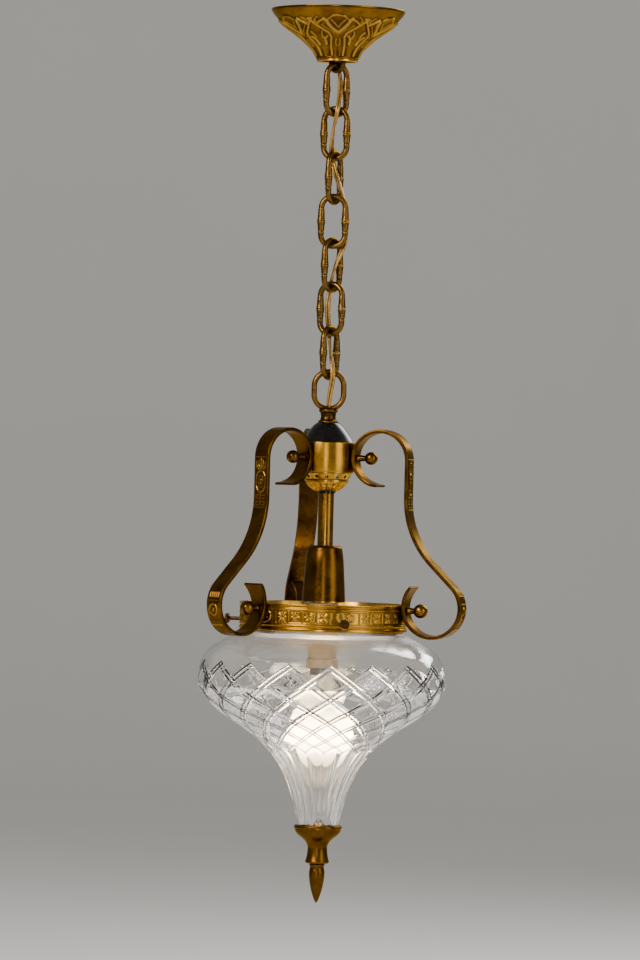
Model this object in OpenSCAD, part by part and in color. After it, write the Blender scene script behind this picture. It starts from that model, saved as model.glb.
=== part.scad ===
/* [Ceiling rose] */
// Diameter of the rose at the ceiling
rose_d = 120.6; // [100:0.1:150]
// Height of the rose
rose_h = 45; // [40:0.5:60]
// Sheet thickness of the rose and the other spun shells
sheet_t = 1; // [0.8:0.1:1.5]
// Distance between the two screw holes of the ceiling plate
plate_holes = 72; // [60:1:80]
// Diameter of the threaded rod in the rose
rod_d = 8; // [6:1:10]

/* [Chain] */
// Outer length of a link
link_l = 49.9; // [44:0.1:60]
// Outer width of a link
link_w = 29.7; // [27:0.1:36]
// Wire diameter at a link's ends
link_d = 5.2; // [4.5:0.1:5.6]
// Thickest diameter of a link's sides
limb_d = 7.8; // [6:0.1:8]
// Width of the butt joint in a link's side
slit = 0.4; // [0.2:0.1:0.6]
// Diameter of the flex
flex_d = 5; // [4:0.5:5]

/* [Top ring and ball] */
// Outer width of the ring that hangs in the last link
ring_w = 31.5; // [28:0.5:38]
// Outer length of that ring
ring_l = 38.2; // [34:0.1:46]
// Wire diameter of the ring
ring_d = 5; // [4.5:0.1:5.5]
// Length of the neck below the ring
neck_l = 12.4; // [10:0.1:15]
// Diameter of the ball's brass drum
ball_d = 50.4; // [44:0.1:60]
// Height of the black cap of the ball
cap_h = 17.8; // [15:0.1:22]
// Height of the brass drum
drum_h = 26.7; // [24:0.1:32]
// Height of the pierced ring below the drum
pierced_h = 9; // [8:0.1:11]
// Height of the fluted cup below the pierced ring
cup_h = 8.6; // [7:0.1:11]
// Number of round holes in the pierced ring
pierced_n = 14; // [12:1:18]

/* [Stem and lampholder] */
// Diameter of the stem tube
tube_d = 14; // [13:0.5:16]
// Length of the tube between the ball and the holder cover
tube_l = 47.3; // [40:0.1:57]
// Height of the bell-shaped holder cover
cover_h = 50.8; // [42:0.1:60]
// Diameter of the holder cover at its mouth
cover_d = 38.8; // [34:0.1:46]
// Diameter of the lampholder
holder_d = 26; // [26:0.5:30]
// Diameter of the bulb
bulb_d = 60; // [50:1:66]

/* [Arms] */
// Width of the strap of an arm
arm_w = 18; // [14:0.5:20]
// Thickness of the strap
arm_t = 3.3; // [2.5:0.1:4]
// Radius of the upper scroll, which touches the ball
upper_r = 24.5; // [21:0.5:28]
// Radius of the arm's crown
crown_r = 26; // [22:0.5:30]
// Radius of the long sweep between the crown and the lower scroll
sweep_r = 83; // [70:1:95]
// Radius of the lower scroll, which touches the gallery
lower_r = 26.3; // [22:0.1:30]
// Direction of the first arm, seen from above
arm_turn = -18; // [-60:1:60]
// Diameter of the ball heads of the screws at the upper scrolls
upper_head_d = 11.7; // [10:0.1:13]
// Diameter of the ball heads of the screws at the lower scrolls
lower_head_d = 12.8; // [10:0.1:14]

/* [Gallery] */
// Outer diameter of the gallery
gallery_d = 151.2; // [130:0.1:182]
// Height of the gallery
gallery_h = 24.3; // [21:0.1:30]
// Wall of the gallery
gallery_t = 1.6; // [1.2:0.1:2]
// Drop from the middle of the ball to the top of the gallery
gallery_drop = 135.5; // [115:0.5:160]
// Diameter of the thumbscrew knobs
knob_d = 9; // [7:0.5:11]

/* [Shade] */
// Largest diameter of the glass shade
shade_d = 223; // [190:1:265]
// Height of the shade below the gallery
shade_h = 176; // [150:1:210]
// Thickness of the glass
glass_t = 4.5; // [3.5:0.1:5.5]
// Outer diameter of the shade's foot
foot_d = 36.8; // [34:0.1:44]
// Outer diameter of the brass cup at the foot
cup_rim_d = 43.2; // [42:0.1:54]
// Height of that cup, with its waist
shade_cup_h = 34.2; // [30:0.1:40]
// Length of the drop finial below the cup
finial_l = 36; // [30:0.5:44]

/* [Hidden] */
$fn = 64;
e = 0.01;
// Radial clearance of a running fit, and the gap left beside soft or loose pieces
fit = 0.05;
loose = 0.3;
brass = "goldenrod";
dark_brass = "darkgoldenrod";
black = "dimgray";
steel = "silver";

// Links and their places. The direction of each link's plane is seen from above
links = 7;
loop_turn = -40;
link_turns = [35, -20, 62, -8, 52, -28, 57];
chain_gap = 0.05;
crown_l = 1;
pitch = link_l - 2 * link_d - chain_gap;
ring_bore_r = link_w / 2 + 0.65;
rose_ring_t = 3;
rose_neck_r = ring_bore_r + rose_ring_t;
flange_t = 1.6;
loop_r = 6.6;
loop_d = 5;
hanger_low = -rose_h - 0.4;
chain_top = hanger_low - 1.25 - link_d / 2;
loop_low = chain_top - (link_d + loop_d) / 2 - chain_gap;
function link_high(i) = chain_top - (i - 1) * pitch;
function link_low(i) = link_high(i) - link_l + link_d;

// The lamp hangs by the middle of its top ring's wire
lamp_z = link_low(links) + (link_d + ring_d) / 2 + chain_gap;
ring_low = -(ring_l - ring_d);
cap_top = ring_low - neck_l;
drum_top = cap_top - cap_h;
pierced_top = drum_top - drum_h;
cup_top = pierced_top - pierced_h;
washer_top = cup_top - cup_h;
washer_t = 1.4;
tube_top = washer_top - washer_t;
cover_top = tube_top - tube_l;
cover_low = cover_top - cover_h;
ball_z = drum_top - 9.2;
ball_r = ball_d / 2;
cap_r = ball_r - 1.8;
pierced_r = ball_r - 2.6;
pierced_low_r = ball_r - 5.9;
cup_low_r = 8.1;
nipple_r = 5.9;
nipple_bore_r = 4;
neck_r = 8.5;

// Scrolls of an arm
upper_z = ball_z - 4.5;
gallery_top = ball_z - gallery_drop;
gallery_r = gallery_d / 2;
gallery_bore_r = gallery_r - gallery_t;
screw_low_z = gallery_top - 4.6;
lower_z = gallery_top - 1.6;
touch = 0.05;
upper_x = ball_r + touch + arm_t / 2;
lower_x = gallery_r + touch + arm_t / 2;
shank_r = 2;
nut_t = 2.6;

// Lampholder and bulb
tube_low = cover_low + 7;
holder_top = cover_low - 0.8;
holder_l = 55.4;
holder_low = holder_top - holder_l;
holder_r = holder_d / 2;
holder_bore_r = 11.2;
pin_z = holder_low + 12.4;
pin_turn = 25;
bulb_cap_r = holder_bore_r - 0.25;
bulb_cap_top = pin_z + 4.6;
bulb_cap_l = 25;
bulb_l = 108;
bulb_tip = bulb_cap_top - bulb_l;
bulb_z = bulb_tip + bulb_d / 2;
stem_flex_low = holder_top - 15.5;

// Shade, from its lip inside the gallery down to the foot
lip_top = gallery_top - 9.4;
lip_t = 5.3;
lip_r = gallery_bore_r - 0.6;
throat_r = lip_r - 2.8;
thumb_r = 1.7;
thumb_z = lip_top - lip_t - fit - thumb_r;
thumb_out = 14;
knob_t = 3;
gallery_low = gallery_top - gallery_h;
shade_top = gallery_low - 2.2;
shade_low = gallery_low - shade_h;
foot_r = foot_d / 2;
foot_z = shade_low - 6;
foot_bore_r = foot_r - 4.2;
foot_hole_r = 3.6;
foot_floor = 4;
stud_r = 2.5;
washer_gap = 0.8;
cup_floor = foot_z - washer_gap;
cup_rim_z = shade_low + 0.2;
waist_r = 8.8;
skirt_r = 10.8;
cup_low = cup_rim_z - shade_cup_h;
finial_r = 7;

// Route of the flex past each link: beside the wires where two links meet, and through the middles.
// Each point is [x, y, height], with heights counted in pitches below the first link's top wire
flex_meets = [
    [2.3, 8.5], [1.2, -7.3], [-2.7, 6.8], [8.9, 4.3], [10.5, 3.9], [-1.4, 7.2], [-1.5, 7.6], [3.1, -6]
];
flex_middles = [[3.5, 1.8], [-2.3, 0.7], [2.2, 3.8], [10, 5.7], [3.2, 2.6], [-2.8, 6.7], [0.7, 0.5]];
flex_hole = [2.3, 8.5];
flex_hole_r = flex_d / 2 + 0.6;
block_x = 22;

// A cubic curve through four control points
function curve(p, n = 10) = [
    for (i = [0:n])
        let (t = i / n, u = 1 - t)
        u * u * u * p[0] + 3 * u * u * t * p[1] + 3 * u * t * t * p[2] + t * t * t * p[3]
];

// A smooth line through all the points of a list, in n steps from each to the next
function through(p, n = 4) = concat(
    [for (i = [0:len(p) - 2], j = [0:n - 1])
        let (
            a = p[max(i - 1, 0)], b = p[i], c = p[i + 1], d = p[min(i + 2, len(p) - 1)], t = j / n
        )
        (2 * b + (c - a) * t + (2 * a - 5 * b + 4 * c - d) * t * t + (3 * b - a - 3 * c + d) * t * t * t) / 2
    ],
    [p[len(p) - 1]]
);

function rev(p) = [for (i = [len(p) - 1:-1:0]) p[i]];
function unit(v) = v / norm(v);
function along(p, i) = unit(p[min(i + 1, len(p) - 1)] - p[max(i - 1, 0)]);
// The same line moved sideways by d, to its right when d is above 0
function beside(p, d) = [for (i = [0:len(p) - 1]) let (a = along(p, i)) p[i] + d * [a.y, -a.x]];
function arc(centre, r, from, to) = let (n = max(2, ceil(abs(to - from) / 6))) [
    for (i = [0:n]) let (a = from + (to - from) * i / n) centre + r * [cos(a), sin(a)]
];
function tail(p) = [for (i = [1:len(p) - 1]) p[i]];

// A shell turned about Z, with its outer side given from top to bottom and its wall inwards
module spun(outer, wall) {
    rotate_extrude() polygon(concat(outer, rev(beside(outer, wall))));
}

module turned(points) {
    rotate_extrude() polygon(points);
}

module around(n, r = 0, first = 0) {
    for (i = [0:n - 1]) rotate(first + i * 360 / n) translate([r, 0, 0]) children();
}

// Pieces of the lamp stand in its own frame
module lamp() {
    translate([0, 0, lamp_z]) children();
}

// A pipe or rod along Z between two heights
module rod(r, low, high, bore = 0) {
    if (bore > 0)
        difference() {
            translate([0, 0, low]) cylinder(r = r, h = high - low);
            translate([0, 0, low - 1]) cylinder(r = bore, h = high - low + 2);
        }
    else
        translate([0, 0, low]) cylinder(r = r, h = high - low);
}

// A rod that points outwards along X, from x1 to x2
module spoke(r, x1, x2) {
    translate([x1, 0, 0]) rotate([0, 90, 0]) cylinder(r = r, h = x2 - x1);
}

module hexagon(across, low, high, bore) {
    difference() {
        translate([0, 0, low]) cylinder(r = across / sqrt(3), h = high - low, $fn = 6);
        translate([0, 0, low - 1]) cylinder(r = bore, h = high - low + 2);
    }
}

// Closed loop of round wire in the XZ plane, hanging from z = 0 at the middle of its upper wire.
// Its crowns have a short straight length, which the next piece bears on
module wire_loop(width, length, d, crown, sides = true) {
    r = (width - d - crown) / 2;
    side = length - d - 2 * r;
    for (end = [0, 1]) translate([0, 0, -end * (length - d)]) mirror([0, 0, end]) {
        rotate([0, 90, 0]) cylinder(d = d, h = crown, center = true);
        for (s = [0, 1]) mirror([s, 0, 0]) translate([crown / 2, 0, -r]) rotate([90, 0, 0])
            rotate_extrude(angle = 90) translate([r, 0]) circle(d = d, $fn = 32);
    }
    if (sides && side > 0)
        for (s = [-1, 1]) translate([s * (r + crown / 2), 0, -r - side]) cylinder(d = d, h = side);
}

// Sides of a link: cast thicker than its ends, with a swelling where the joint is
function limb_r(t) = link_d / 2
    + (limb_d - link_d) / 2 * (0.42 * pow(sin(t * 180), 0.5) + 0.58 * exp(-pow((t - 0.5) * 9, 2)));

module link(i) {
    r = (link_w - limb_d - crown_l) / 2;
    side = link_l - link_d - 2 * r;
    ends = 2 * (r + crown_l / 2) + link_d;
    n = 16;
    translate([0, 0, link_high(i)]) rotate(link_turns[i - 1]) difference() {
        union() {
            wire_loop(ends, link_l, link_d, crown_l, false);
            for (s = [-1, 1]) translate([s * (r + crown_l / 2), 0, -r - side]) rotate_extrude($fn = 32)
                polygon(concat([[0, 0]], [for (k = [0:n]) [limb_r(k / n), side * k / n]], [[0, side]]));
        }
        translate([r, 0, -(link_l - link_d) / 2]) cube([link_d + limb_d, 2 * limb_d, slit], center = true);
    }
}

// Ceiling rose and what it hides
module ceiling_plate() {
    color(steel) difference() {
        union() {
            translate([-plate_holes / 2, -12, -3]) cube([plate_holes, 24, 3]);
            for (s = [-1, 1]) translate([s * plate_holes / 2, 0, -3]) cylinder(r = 12, h = 3);
        }
        rod(rod_d / 2 + fit, -4, 1);
        for (s = [-1, 1]) translate([s * plate_holes / 2, 0, -4]) cylinder(r = 2.3, h = 5);
    }
}

module hanger_rod() {
    color(steel) rod(rod_d / 2, -rose_h + 6, -0.6);
}

module rod_nut() {
    color(steel) hexagon(rod_d + 5, -3 - 0.8 * rod_d, -3, rod_d / 2 + fit);
}

// Round hanger whose loop carries the chain. The rose's ring turns on its rim
module hanger_loop() {
    high = -rose_h + 7;
    color(dark_brass) difference() {
        union() {
            rod(ring_bore_r - fit, hanger_low, high);
            rod(rod_d / 2 + 4, high, high + 9);
            translate([0, 0, loop_low + 2 * loop_r]) rotate(loop_turn)
                wire_loop(2 * loop_r + loop_d, 2 * loop_r + loop_d, loop_d, 0.6);
        }
        rod(rod_d / 2 + fit, hanger_low + 3, high + 10);
        translate([flex_hole.x, flex_hole.y, hanger_low - 4]) cylinder(r = flex_hole_r, h = 40);
    }
}

module rose_ring() {
    low = -rose_h - flange_t;
    inner = ring_bore_r;
    outer = rose_neck_r;
    color(brass) turned([
        [inner, low + 0.4], [inner + 0.4, low], [outer - 0.4, low], [outer, low + 0.4],
        [outer, -rose_h], [outer - sheet_t - fit, -rose_h], [outer - sheet_t - fit, -rose_h + 5],
        [inner, -rose_h + 5]
    ]);
}

module ceiling_rose() {
    side = curve([[rose_d / 2, 0], [rose_d / 2 - 2.8, -0.3 * rose_h], [rose_neck_r + 1.6, -0.62 * rose_h],
        [rose_neck_r, -rose_h]], 24);
    color(brass) difference() {
        spun(side, sheet_t);
        cylinder(r = rose_d, h = 5);
        translate([0, 0, -rose_h - 5]) cylinder(r = rose_d, h = 5);
    }
}

module terminal_block() {
    color("ivory") difference() {
        translate([block_x - 11, -7, -3 - 13]) cube([22, 14, 13]);
        for (s = [-1, 1]) translate([block_x + s * 5, -7.1, -9.5]) rotate([-90, 0, 0]) cylinder(r = 1.8, h = 8);
        for (s = [-1, 1]) translate([block_x + s * 5, 0, -17]) cylinder(r = 1.8 + fit, h = 6);
    }
}

module terminal_screws() {
    color(brass) for (s = [-1, 1]) translate([block_x + s * 5, 0, -16.4]) cylinder(r = 1.8, h = 5);
}

// The flex in one length, from the terminal block, through the chain and into the neck of the ring
function flex_level(i) = chain_top - (i == 0 ? (link_d + loop_d) / 4 : i * pitch + (link_d + chain_gap) / 2);
flex_points = concat(
    [[block_x, 8.6, -9.5], [20, 13, -12.2], [11.2, 13.4, -22], [4.2, 10.6, -31]],
    [[flex_hole.x, flex_hole.y, -rose_h + 7], [flex_hole.x, flex_hole.y, -rose_h]],
    [for (i = [0:links]) each concat(
        [[flex_meets[i].x, flex_meets[i].y, flex_level(i)]],
        i < links ? [[flex_middles[i].x, flex_middles[i].y, flex_level(i) - pitch / 2]] : []
    )],
    [[0.6, -1.8, lamp_z + ring_low + 9.9], [0, 0, lamp_z + ring_low], [0, 0, lamp_z + cap_top + loose]]
);

// A round tube of n sides along a line of points, closed at both ends
module swept(points, d, n = 8) {
    last = len(points) - 1;
    function side(i) = let (a = along(points, i), h = unit(cross(a, [1, 0, 0]))) [h, cross(a, h)];
    rings = [for (i = [0:last]) let (s = side(i)) [
        for (k = [0:n - 1]) points[i] + d / 2 * (cos(k * 360 / n) * s[0] + sin(k * 360 / n) * s[1])
    ]];
    polyhedron(
        points = [for (r = rings) each r],
        faces = concat(
            [[for (k = [0:n - 1]) k]],
            [[for (k = [n - 1:-1:0]) last * n + k]],
            [for (i = [0:last - 1], k = [0:n - 1]) let (m = (k + 1) % n)
                [i * n + k, (i + 1) * n + k, (i + 1) * n + m, i * n + m]]
        )
    );
}

module flex() {
    color("gold") swept(concat([[block_x, 7 + fit, -9.5]], through(flex_points, 3)), flex_d);
}

// The ring in the last link, with its neck, cast in one
module top_ring() {
    foot = ring_low - neck_l;
    color(dark_brass) lamp() difference() {
        union() {
            wire_loop(ring_w, ring_l, ring_d, 0.8);
            turned([
                [0, ring_low + 1.2], [6.6, ring_low + 1.2], [neck_r, ring_low - 1], [neck_r, ring_low - 2.6],
                [neck_r - 1.2, ring_low - 4], [neck_r - 1.2, foot + 2.4], [neck_r + 0.6, foot + 1], [neck_r + 0.6, foot],
                [0, foot]
            ]);
        }
        rod(flex_hole_r, foot - 1, ring_low + 8);
        rod(nipple_r + fit, foot - 1, foot + 6);
    }
}

// Black upper half of the ball: its skirt fits inside the drum
module ball_cap() {
    side = curve([[neck_r + 0.6, cap_top], [neck_r + 4, cap_top - 0.6], [ball_r - 5.7, cap_top - 0.59 * cap_h],
        [cap_r, drum_top]], 12);
    color(black) lamp() union() {
        spun(concat([[nipple_r + fit, cap_top]], side), sheet_t);
        rod(cap_r, drum_top - 3.5, drum_top + e, cap_r - sheet_t);
    }
}

module ball_drum() {
    wall = ball_r - cap_r - fit;
    belly = curve([[ball_r - 0.5, drum_top], [ball_r + 0.17, drum_top - 0.35 * drum_h],
        [ball_r + 0.17, drum_top - 0.65 * drum_h], [ball_r - 0.7, pierced_top]], 8);
    color(brass) lamp() difference() {
        turned(concat([[ball_r - wall, drum_top]], belly, [[ball_r - wall, pierced_top]]));
        for (a = [0:2]) rotate(arm_turn + 120 * a) translate([0, 0, upper_z]) spoke(shank_r + fit, ball_r - 5, ball_r + 5);
    }
}

// Sloping ring with a row of round holes and two beads
module pierced_ring() {
    tilt = atan2(pierced_r - pierced_low_r, pierced_h - 3.4);
    color(brass) lamp() difference() {
        union() {
            turned([
                [cap_r - 1.6, pierced_top + 2.5], [cap_r, pierced_top + 2.5], [cap_r, pierced_top],
                [pierced_r + 0.9, pierced_top], [pierced_r + 0.9, pierced_top - 0.8], [pierced_r, pierced_top - 1.2],
                [pierced_low_r, cup_top + 2.2], [pierced_low_r + 0.7, cup_top + 1.7], [pierced_low_r + 0.7, cup_top + 0.9],
                [pierced_low_r + 0.1, cup_top + 0.5], [pierced_low_r + 0.1, cup_top],
                [pierced_low_r - 2, cup_top], [pierced_low_r - 2, cup_top + 2.2]
            ]);
        }
        for (i = [0:pierced_n - 1]) rotate((i + 0.5) * 360 / pierced_n)
            translate([(pierced_r + pierced_low_r) / 2, 0, (pierced_top - 1.2 + cup_top + 2.2) / 2])
                rotate([0, 90 + tilt, 0]) cylinder(r = 1.75, h = 8, center = true);
    }
}

// Shallow cup with flutes, closing the ball below
module fluted_cup() {
    flutes = 18;
    side = curve([[pierced_low_r - 0.3, cup_top], [pierced_low_r - 1.9, cup_top - 0.45 * cup_h],
        [cup_low_r + 4.4, washer_top + 0.6], [cup_low_r, washer_top]], 12);
    color(brass) lamp() difference() {
        turned(concat([[nipple_r + fit, washer_top]], rev(side), [[pierced_low_r - 2.2, cup_top],
            [cup_low_r + 3, washer_top + 2.6], [nipple_r + fit, washer_top + 1.8]]));
        around(flutes, (pierced_low_r + cup_low_r) / 2 + 1.5) translate([0, 0, washer_top + 2.2])
            rotate([0, 52, 0]) cylinder(r = 1.9, h = 26, center = true);
    }
}

module tube_washer() {
    color(black) lamp() rod(8.3, tube_top, washer_top, nipple_r + fit);
}

// Hollow threaded nipple that holds the neck, the ball and the tube together
module nipple() {
    color(brass) lamp() rod(nipple_r, tube_top - 14, cap_top + 5.5, nipple_bore_r);
}

module stem_tube() {
    color(dark_brass) lamp() rod(tube_d / 2, tube_low, tube_top, nipple_r + fit);
}

module cover_hub(r) {
    rod(r, cover_top - 6, cover_top, tube_d / 2 + fit);
}

// Bell-shaped cover that slides on the tube
module holder_cover() {
    r = cover_d / 2;
    side = through([[r - 6.4, cover_top], [r - 4.2, cover_top - 1.6], [r - 3.4, cover_top - 5],
        [r - 2.3, cover_top - 0.27 * cover_h], [r - 0.9, cover_top - 0.7 * cover_h], [r, cover_low]], 4);
    color(dark_brass) lamp() difference() {
        union() {
            spun(concat([[tube_d / 2 + fit, cover_top]], side), sheet_t);
            cover_hub(tube_d / 2 + 2.6);
        }
        translate([0, 0, cover_top - 3.5]) rotate(90) spoke(1.5 + fit, tube_d / 2 - 1, r + 5);
    }
}

module cover_screw() {
    color(steel) lamp() translate([0, 0, cover_top - 3.5]) rotate(90) difference() {
        spoke(1.5, tube_d / 2 + fit, cover_d / 2 - 1.4);
        translate([cover_d / 2 - 1.9, -2, -0.25]) cube([2, 4, 0.5]);
    }
}

// Lampholder: threaded metal cap, moulded body with bayonet slots, contact block and plungers
module holder_cap() {
    color(brass) lamp() difference() {
        turned([[0, tube_low + 4], [tube_d / 2 + 2, tube_low + 4], [tube_d / 2 + 2, tube_low], [holder_r - 1, tube_low - 4],
            [holder_r - 1, holder_top - 6], [holder_r - 2.4, holder_top - 6], [holder_r - 2.4, tube_low - 5],
            [tube_d / 2, tube_low - 2], [0, tube_low - 2]]);
        rod(tube_d / 2 + fit, tube_low, tube_low + 5);
        rod(flex_hole_r, tube_low - 5, tube_low + 1);
    }
}

module holder_body() {
    slot_r = 1.4;
    reach = holder_bore_r + 1.2;
    color("ivory") lamp() difference() {
        turned([
            [holder_bore_r, holder_low + 0.5], [holder_bore_r + 0.4, holder_low], [holder_r + 1.6, holder_low],
            [holder_r + 1.6, holder_low + 7], [holder_r, holder_low + 8], [holder_r, holder_top],
            [holder_r - 1 + fit, holder_top], [holder_r - 1 + fit, holder_top - 6], [holder_bore_r, holder_top - 6]
        ]);
        for (a = [0, 180]) rotate(a) {
            translate([0, -slot_r, holder_low - 1]) cube([reach, 2 * slot_r, pin_z + slot_r - holder_low + 1]);
            translate([0, 0, pin_z - slot_r]) rotate_extrude(angle = -pin_turn - 7) square([reach, 2 * slot_r]);
        }
    }
}

module contact_block() {
    top = holder_top - 6;
    color("white") lamp() difference() {
        rod(holder_bore_r - fit, bulb_cap_top + 3.2, top);
        for (s = [-1, 1]) translate([s * 4.5, 0, bulb_cap_top]) cylinder(r = 1.9 + fit, h = 11 + 2 * fit);
        rod(flex_hole_r, stem_flex_low, top + 1);
    }
}

module contact_plungers() {
    color(brass) lamp() for (s = [-1, 1]) translate([s * 4.5, 0, bulb_cap_top + 1 + fit]) union() {
        translate([0, 0, 1]) cylinder(r = 1.9, h = 9);
        cylinder(r1 = 1.3, r2 = 1.9, h = 1);
    }
}

module stem_flex() {
    color("gold") lamp() rod(flex_d / 2, stem_flex_low, cap_top);
}

// Scroll arm: one strap bent to tangent arcs. The upper scroll touches the ball, the lower one the
// gallery, and a straight length on each side of the long sweep takes up what is left between them
function arm_line() =
    let (
        upper = [upper_x + upper_r, upper_z],
        crown = [upper.x, upper.y + upper_r - crown_r],
        top_end = [crown.x + crown_r, crown.y],
        lower = [lower_x + lower_r, lower_z],
        low_start = lower + lower_r * [cos(45), sin(45)],
        run = (low_start.x - top_end.x - sweep_r * (1 - cos(45))) / cos(45),
        sweep = low_start + run * [-cos(45), sin(45)] + sweep_r * [cos(45), sin(45)]
    )
    concat(
        arc(upper, upper_r, 270, 90),
        tail(arc(crown, crown_r, 90, 0)),
        arc(sweep, sweep_r, 180, 225),
        arc(lower, lower_r, 45, -225)
    );

module arm(i) {
    line = arm_line();
    color(dark_brass) lamp() rotate(arm_turn + 120 * (i - 1)) difference() {
        rotate([90, 0, 0]) linear_extrude(arm_w, center = true)
            polygon(concat(beside(line, arm_t / 2), rev(beside(line, -arm_t / 2))));
        translate([0, 0, upper_z]) spoke(shank_r + fit, ball_r - 4, ball_r + arm_t + 4);
        translate([0, 0, screw_low_z]) spoke(shank_r + fit, gallery_r - 4, gallery_r + arm_t + 6);
    }
}

// Ball-headed screw pointing outwards: its shank starts at x, its neck bears on the strap at seat
module ball_screw(x, seat, neck, head_d) {
    spoke(shank_r, x, seat + 1);
    translate([seat, 0, 0]) rotate([0, 90, 0]) cylinder(r1 = 3.2, r2 = 2.4, h = neck + 1);
    translate([seat + neck + head_d / 2, 0, 0]) sphere(d = head_d);
}

module square_nut(x) {
    difference() {
        translate([x - nut_t, -3.4, -3.4]) cube([nut_t, 6.8, 6.8]);
        spoke(shank_r + fit, x - nut_t - 1, x + 1);
    }
}

module at_arms(z) {
    for (i = [0:2]) rotate(arm_turn + 120 * i) translate([0, 0, z]) children();
}

module upper_ball_screws() {
    color(dark_brass) lamp() at_arms(upper_z) ball_screw(cap_r - 4, ball_r + arm_t + touch + 0.3, 6.8, upper_head_d);
}

module upper_nuts() {
    color(steel) lamp() at_arms(upper_z) square_nut(cap_r - 0.4);
}

module lower_ball_screws() {
    color(dark_brass) lamp() at_arms(screw_low_z) ball_screw(gallery_bore_r - 3, gallery_r + arm_t + 0.9, 5.2, lower_head_d);
}

module lower_nuts() {
    color(steel) lamp() at_arms(screw_low_z) square_nut(gallery_bore_r - 0.2);
}

// Gallery: a rolled ring with ribs at its edges, and a boss for each thumbscrew
module gallery() {
    r = gallery_r - 0.9;
    outline = [
        [gallery_bore_r, gallery_top], [gallery_r, gallery_top], [gallery_r, gallery_top - 1.4], [r, gallery_top - 2],
        [r, gallery_top - 3.4], [r + 0.7, gallery_top - 3.9], [r + 0.7, gallery_top - 5], [r, gallery_top - 5.5],
        [r, gallery_low + 6.6], [r + 0.7, gallery_low + 6.1], [r + 0.7, gallery_low + 5], [r, gallery_low + 4.4],
        [r, gallery_low + 3.2], [gallery_r, gallery_low + 2.6], [gallery_r, gallery_low], [gallery_bore_r, gallery_low]
    ];
    color(brass) lamp() difference() {
        union() {
            turned(outline);
            for (i = [0:2]) rotate(arm_turn + 60 + 120 * i) translate([0, 0, thumb_z])
                spoke(3.6, gallery_bore_r + 0.3, gallery_r + 2.6);
        }
        at_arms(screw_low_z) spoke(shank_r + fit, gallery_bore_r - 2, gallery_r + 4);
        for (i = [0:2]) rotate(arm_turn + 60 + 120 * i) translate([0, 0, thumb_z])
            spoke(thumb_r + fit, gallery_bore_r - 2, gallery_r + 6);
    }
}

module thumbscrew(i) {
    color(black) lamp() rotate(arm_turn + 60 + 120 * (i - 1)) translate([0, 0, thumb_z]) union() {
        spoke(thumb_r, throat_r + loose, gallery_r + thumb_out);
        translate([gallery_r + thumb_out, 0, 0]) rotate([0, 90, 0]) cylinder(d = knob_d, h = knob_t);
        translate([gallery_r + thumb_out - 1.6, 0, 0]) rotate([0, 90, 0]) cylinder(r1 = thumb_r, r2 = 3, h = 1.7);
    }
}

// Glass shade: lip and throat inside the gallery, shoulder, belly and trumpet neck down to the foot
module glass_shade() {
    r = shade_d / 2;
    belly_z = gallery_low - 0.268 * shade_h;
    bend = [0.655 * r, belly_z - 0.228 * shade_h];
    outer = concat(
        [[lip_r - 0.6, lip_top], [lip_r, lip_top - 0.6], [lip_r, lip_top - lip_t], [throat_r, lip_top - lip_t],
            [throat_r, gallery_low + 1.6]],
        curve([[lip_r - 1.4, shade_top], [0.855 * r, shade_top - 12.3], [r, shade_top - 13.6], [r, belly_z]], 12),
        tail(curve([[r, belly_z], [r, belly_z - 0.103 * shade_h], [bend.x + 8.4, bend.y + 5.3], bend], 10)),
        tail(curve([bend, [bend.x - 37.9, bend.y - 24.3], [foot_r + 7.7, shade_low + 38.5], [foot_r, shade_low]], 14)),
        [[foot_r - 0.2, foot_z + 1.2], [foot_r - 1.4, foot_z]]
    );
    body = [for (i = [4:len(outer) - 3]) outer[i]];
    inner = concat([[throat_r - 3.6, lip_top]], beside(body, glass_t), [[foot_bore_r, foot_z + foot_floor]]);
    color("lightcyan", 0.5) lamp() difference() {
        turned(concat(outer, [[0, foot_z], [0, foot_z + foot_floor]], rev(inner)));
        rod(foot_hole_r, foot_z - 1, foot_z + foot_floor + 1);
    }
}

module foot_washer() {
    color("sienna") lamp() rod(foot_r - 2, cup_floor, foot_z, stud_r + fit);
}

module inner_washer() {
    color(brass) lamp() rod(min(10, foot_bore_r - 1), foot_z + foot_floor, foot_z + foot_floor + 1, stud_r + fit);
}

module stud_nut() {
    color(brass) lamp() hexagon(8, foot_z + foot_floor + 1, foot_z + foot_floor + 5, stud_r + fit);
}

module finial_stud() {
    color(steel) lamp() rod(stud_r, cup_low - 12, foot_z + foot_floor + 7.5);
}

// Cup under the shade's foot, with a waist and a flared skirt
module shade_cup() {
    rim_r = cup_rim_d / 2;
    neck_z = cup_rim_z - 0.58 * shade_cup_h;
    outer = concat(
        [[rim_r - 0.5, cup_rim_z], [rim_r, cup_rim_z - 0.5], [rim_r, cup_rim_z - 2.4]],
        curve([[rim_r - 0.6, cup_rim_z - 3], [rim_r - 1, cup_floor - 3.5], [waist_r + 1, cup_floor - 4.5],
            [waist_r, neck_z]], 10),
        tail(curve([[waist_r, neck_z], [waist_r, neck_z - 5], [skirt_r - 1.2, cup_low + 5], [skirt_r, cup_low + 1.8]], 6)),
        [[skirt_r, cup_low + 1], [skirt_r - 1, cup_low]]
    );
    color(dark_brass) lamp() difference() {
        turned(concat(outer, [[0, cup_low], [0, cup_floor], [foot_r + 0.4, cup_floor], [foot_r + 1.2, cup_rim_z]]));
        rod(stud_r + fit, cup_low - 1, cup_floor + 1);
    }
}

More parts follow.
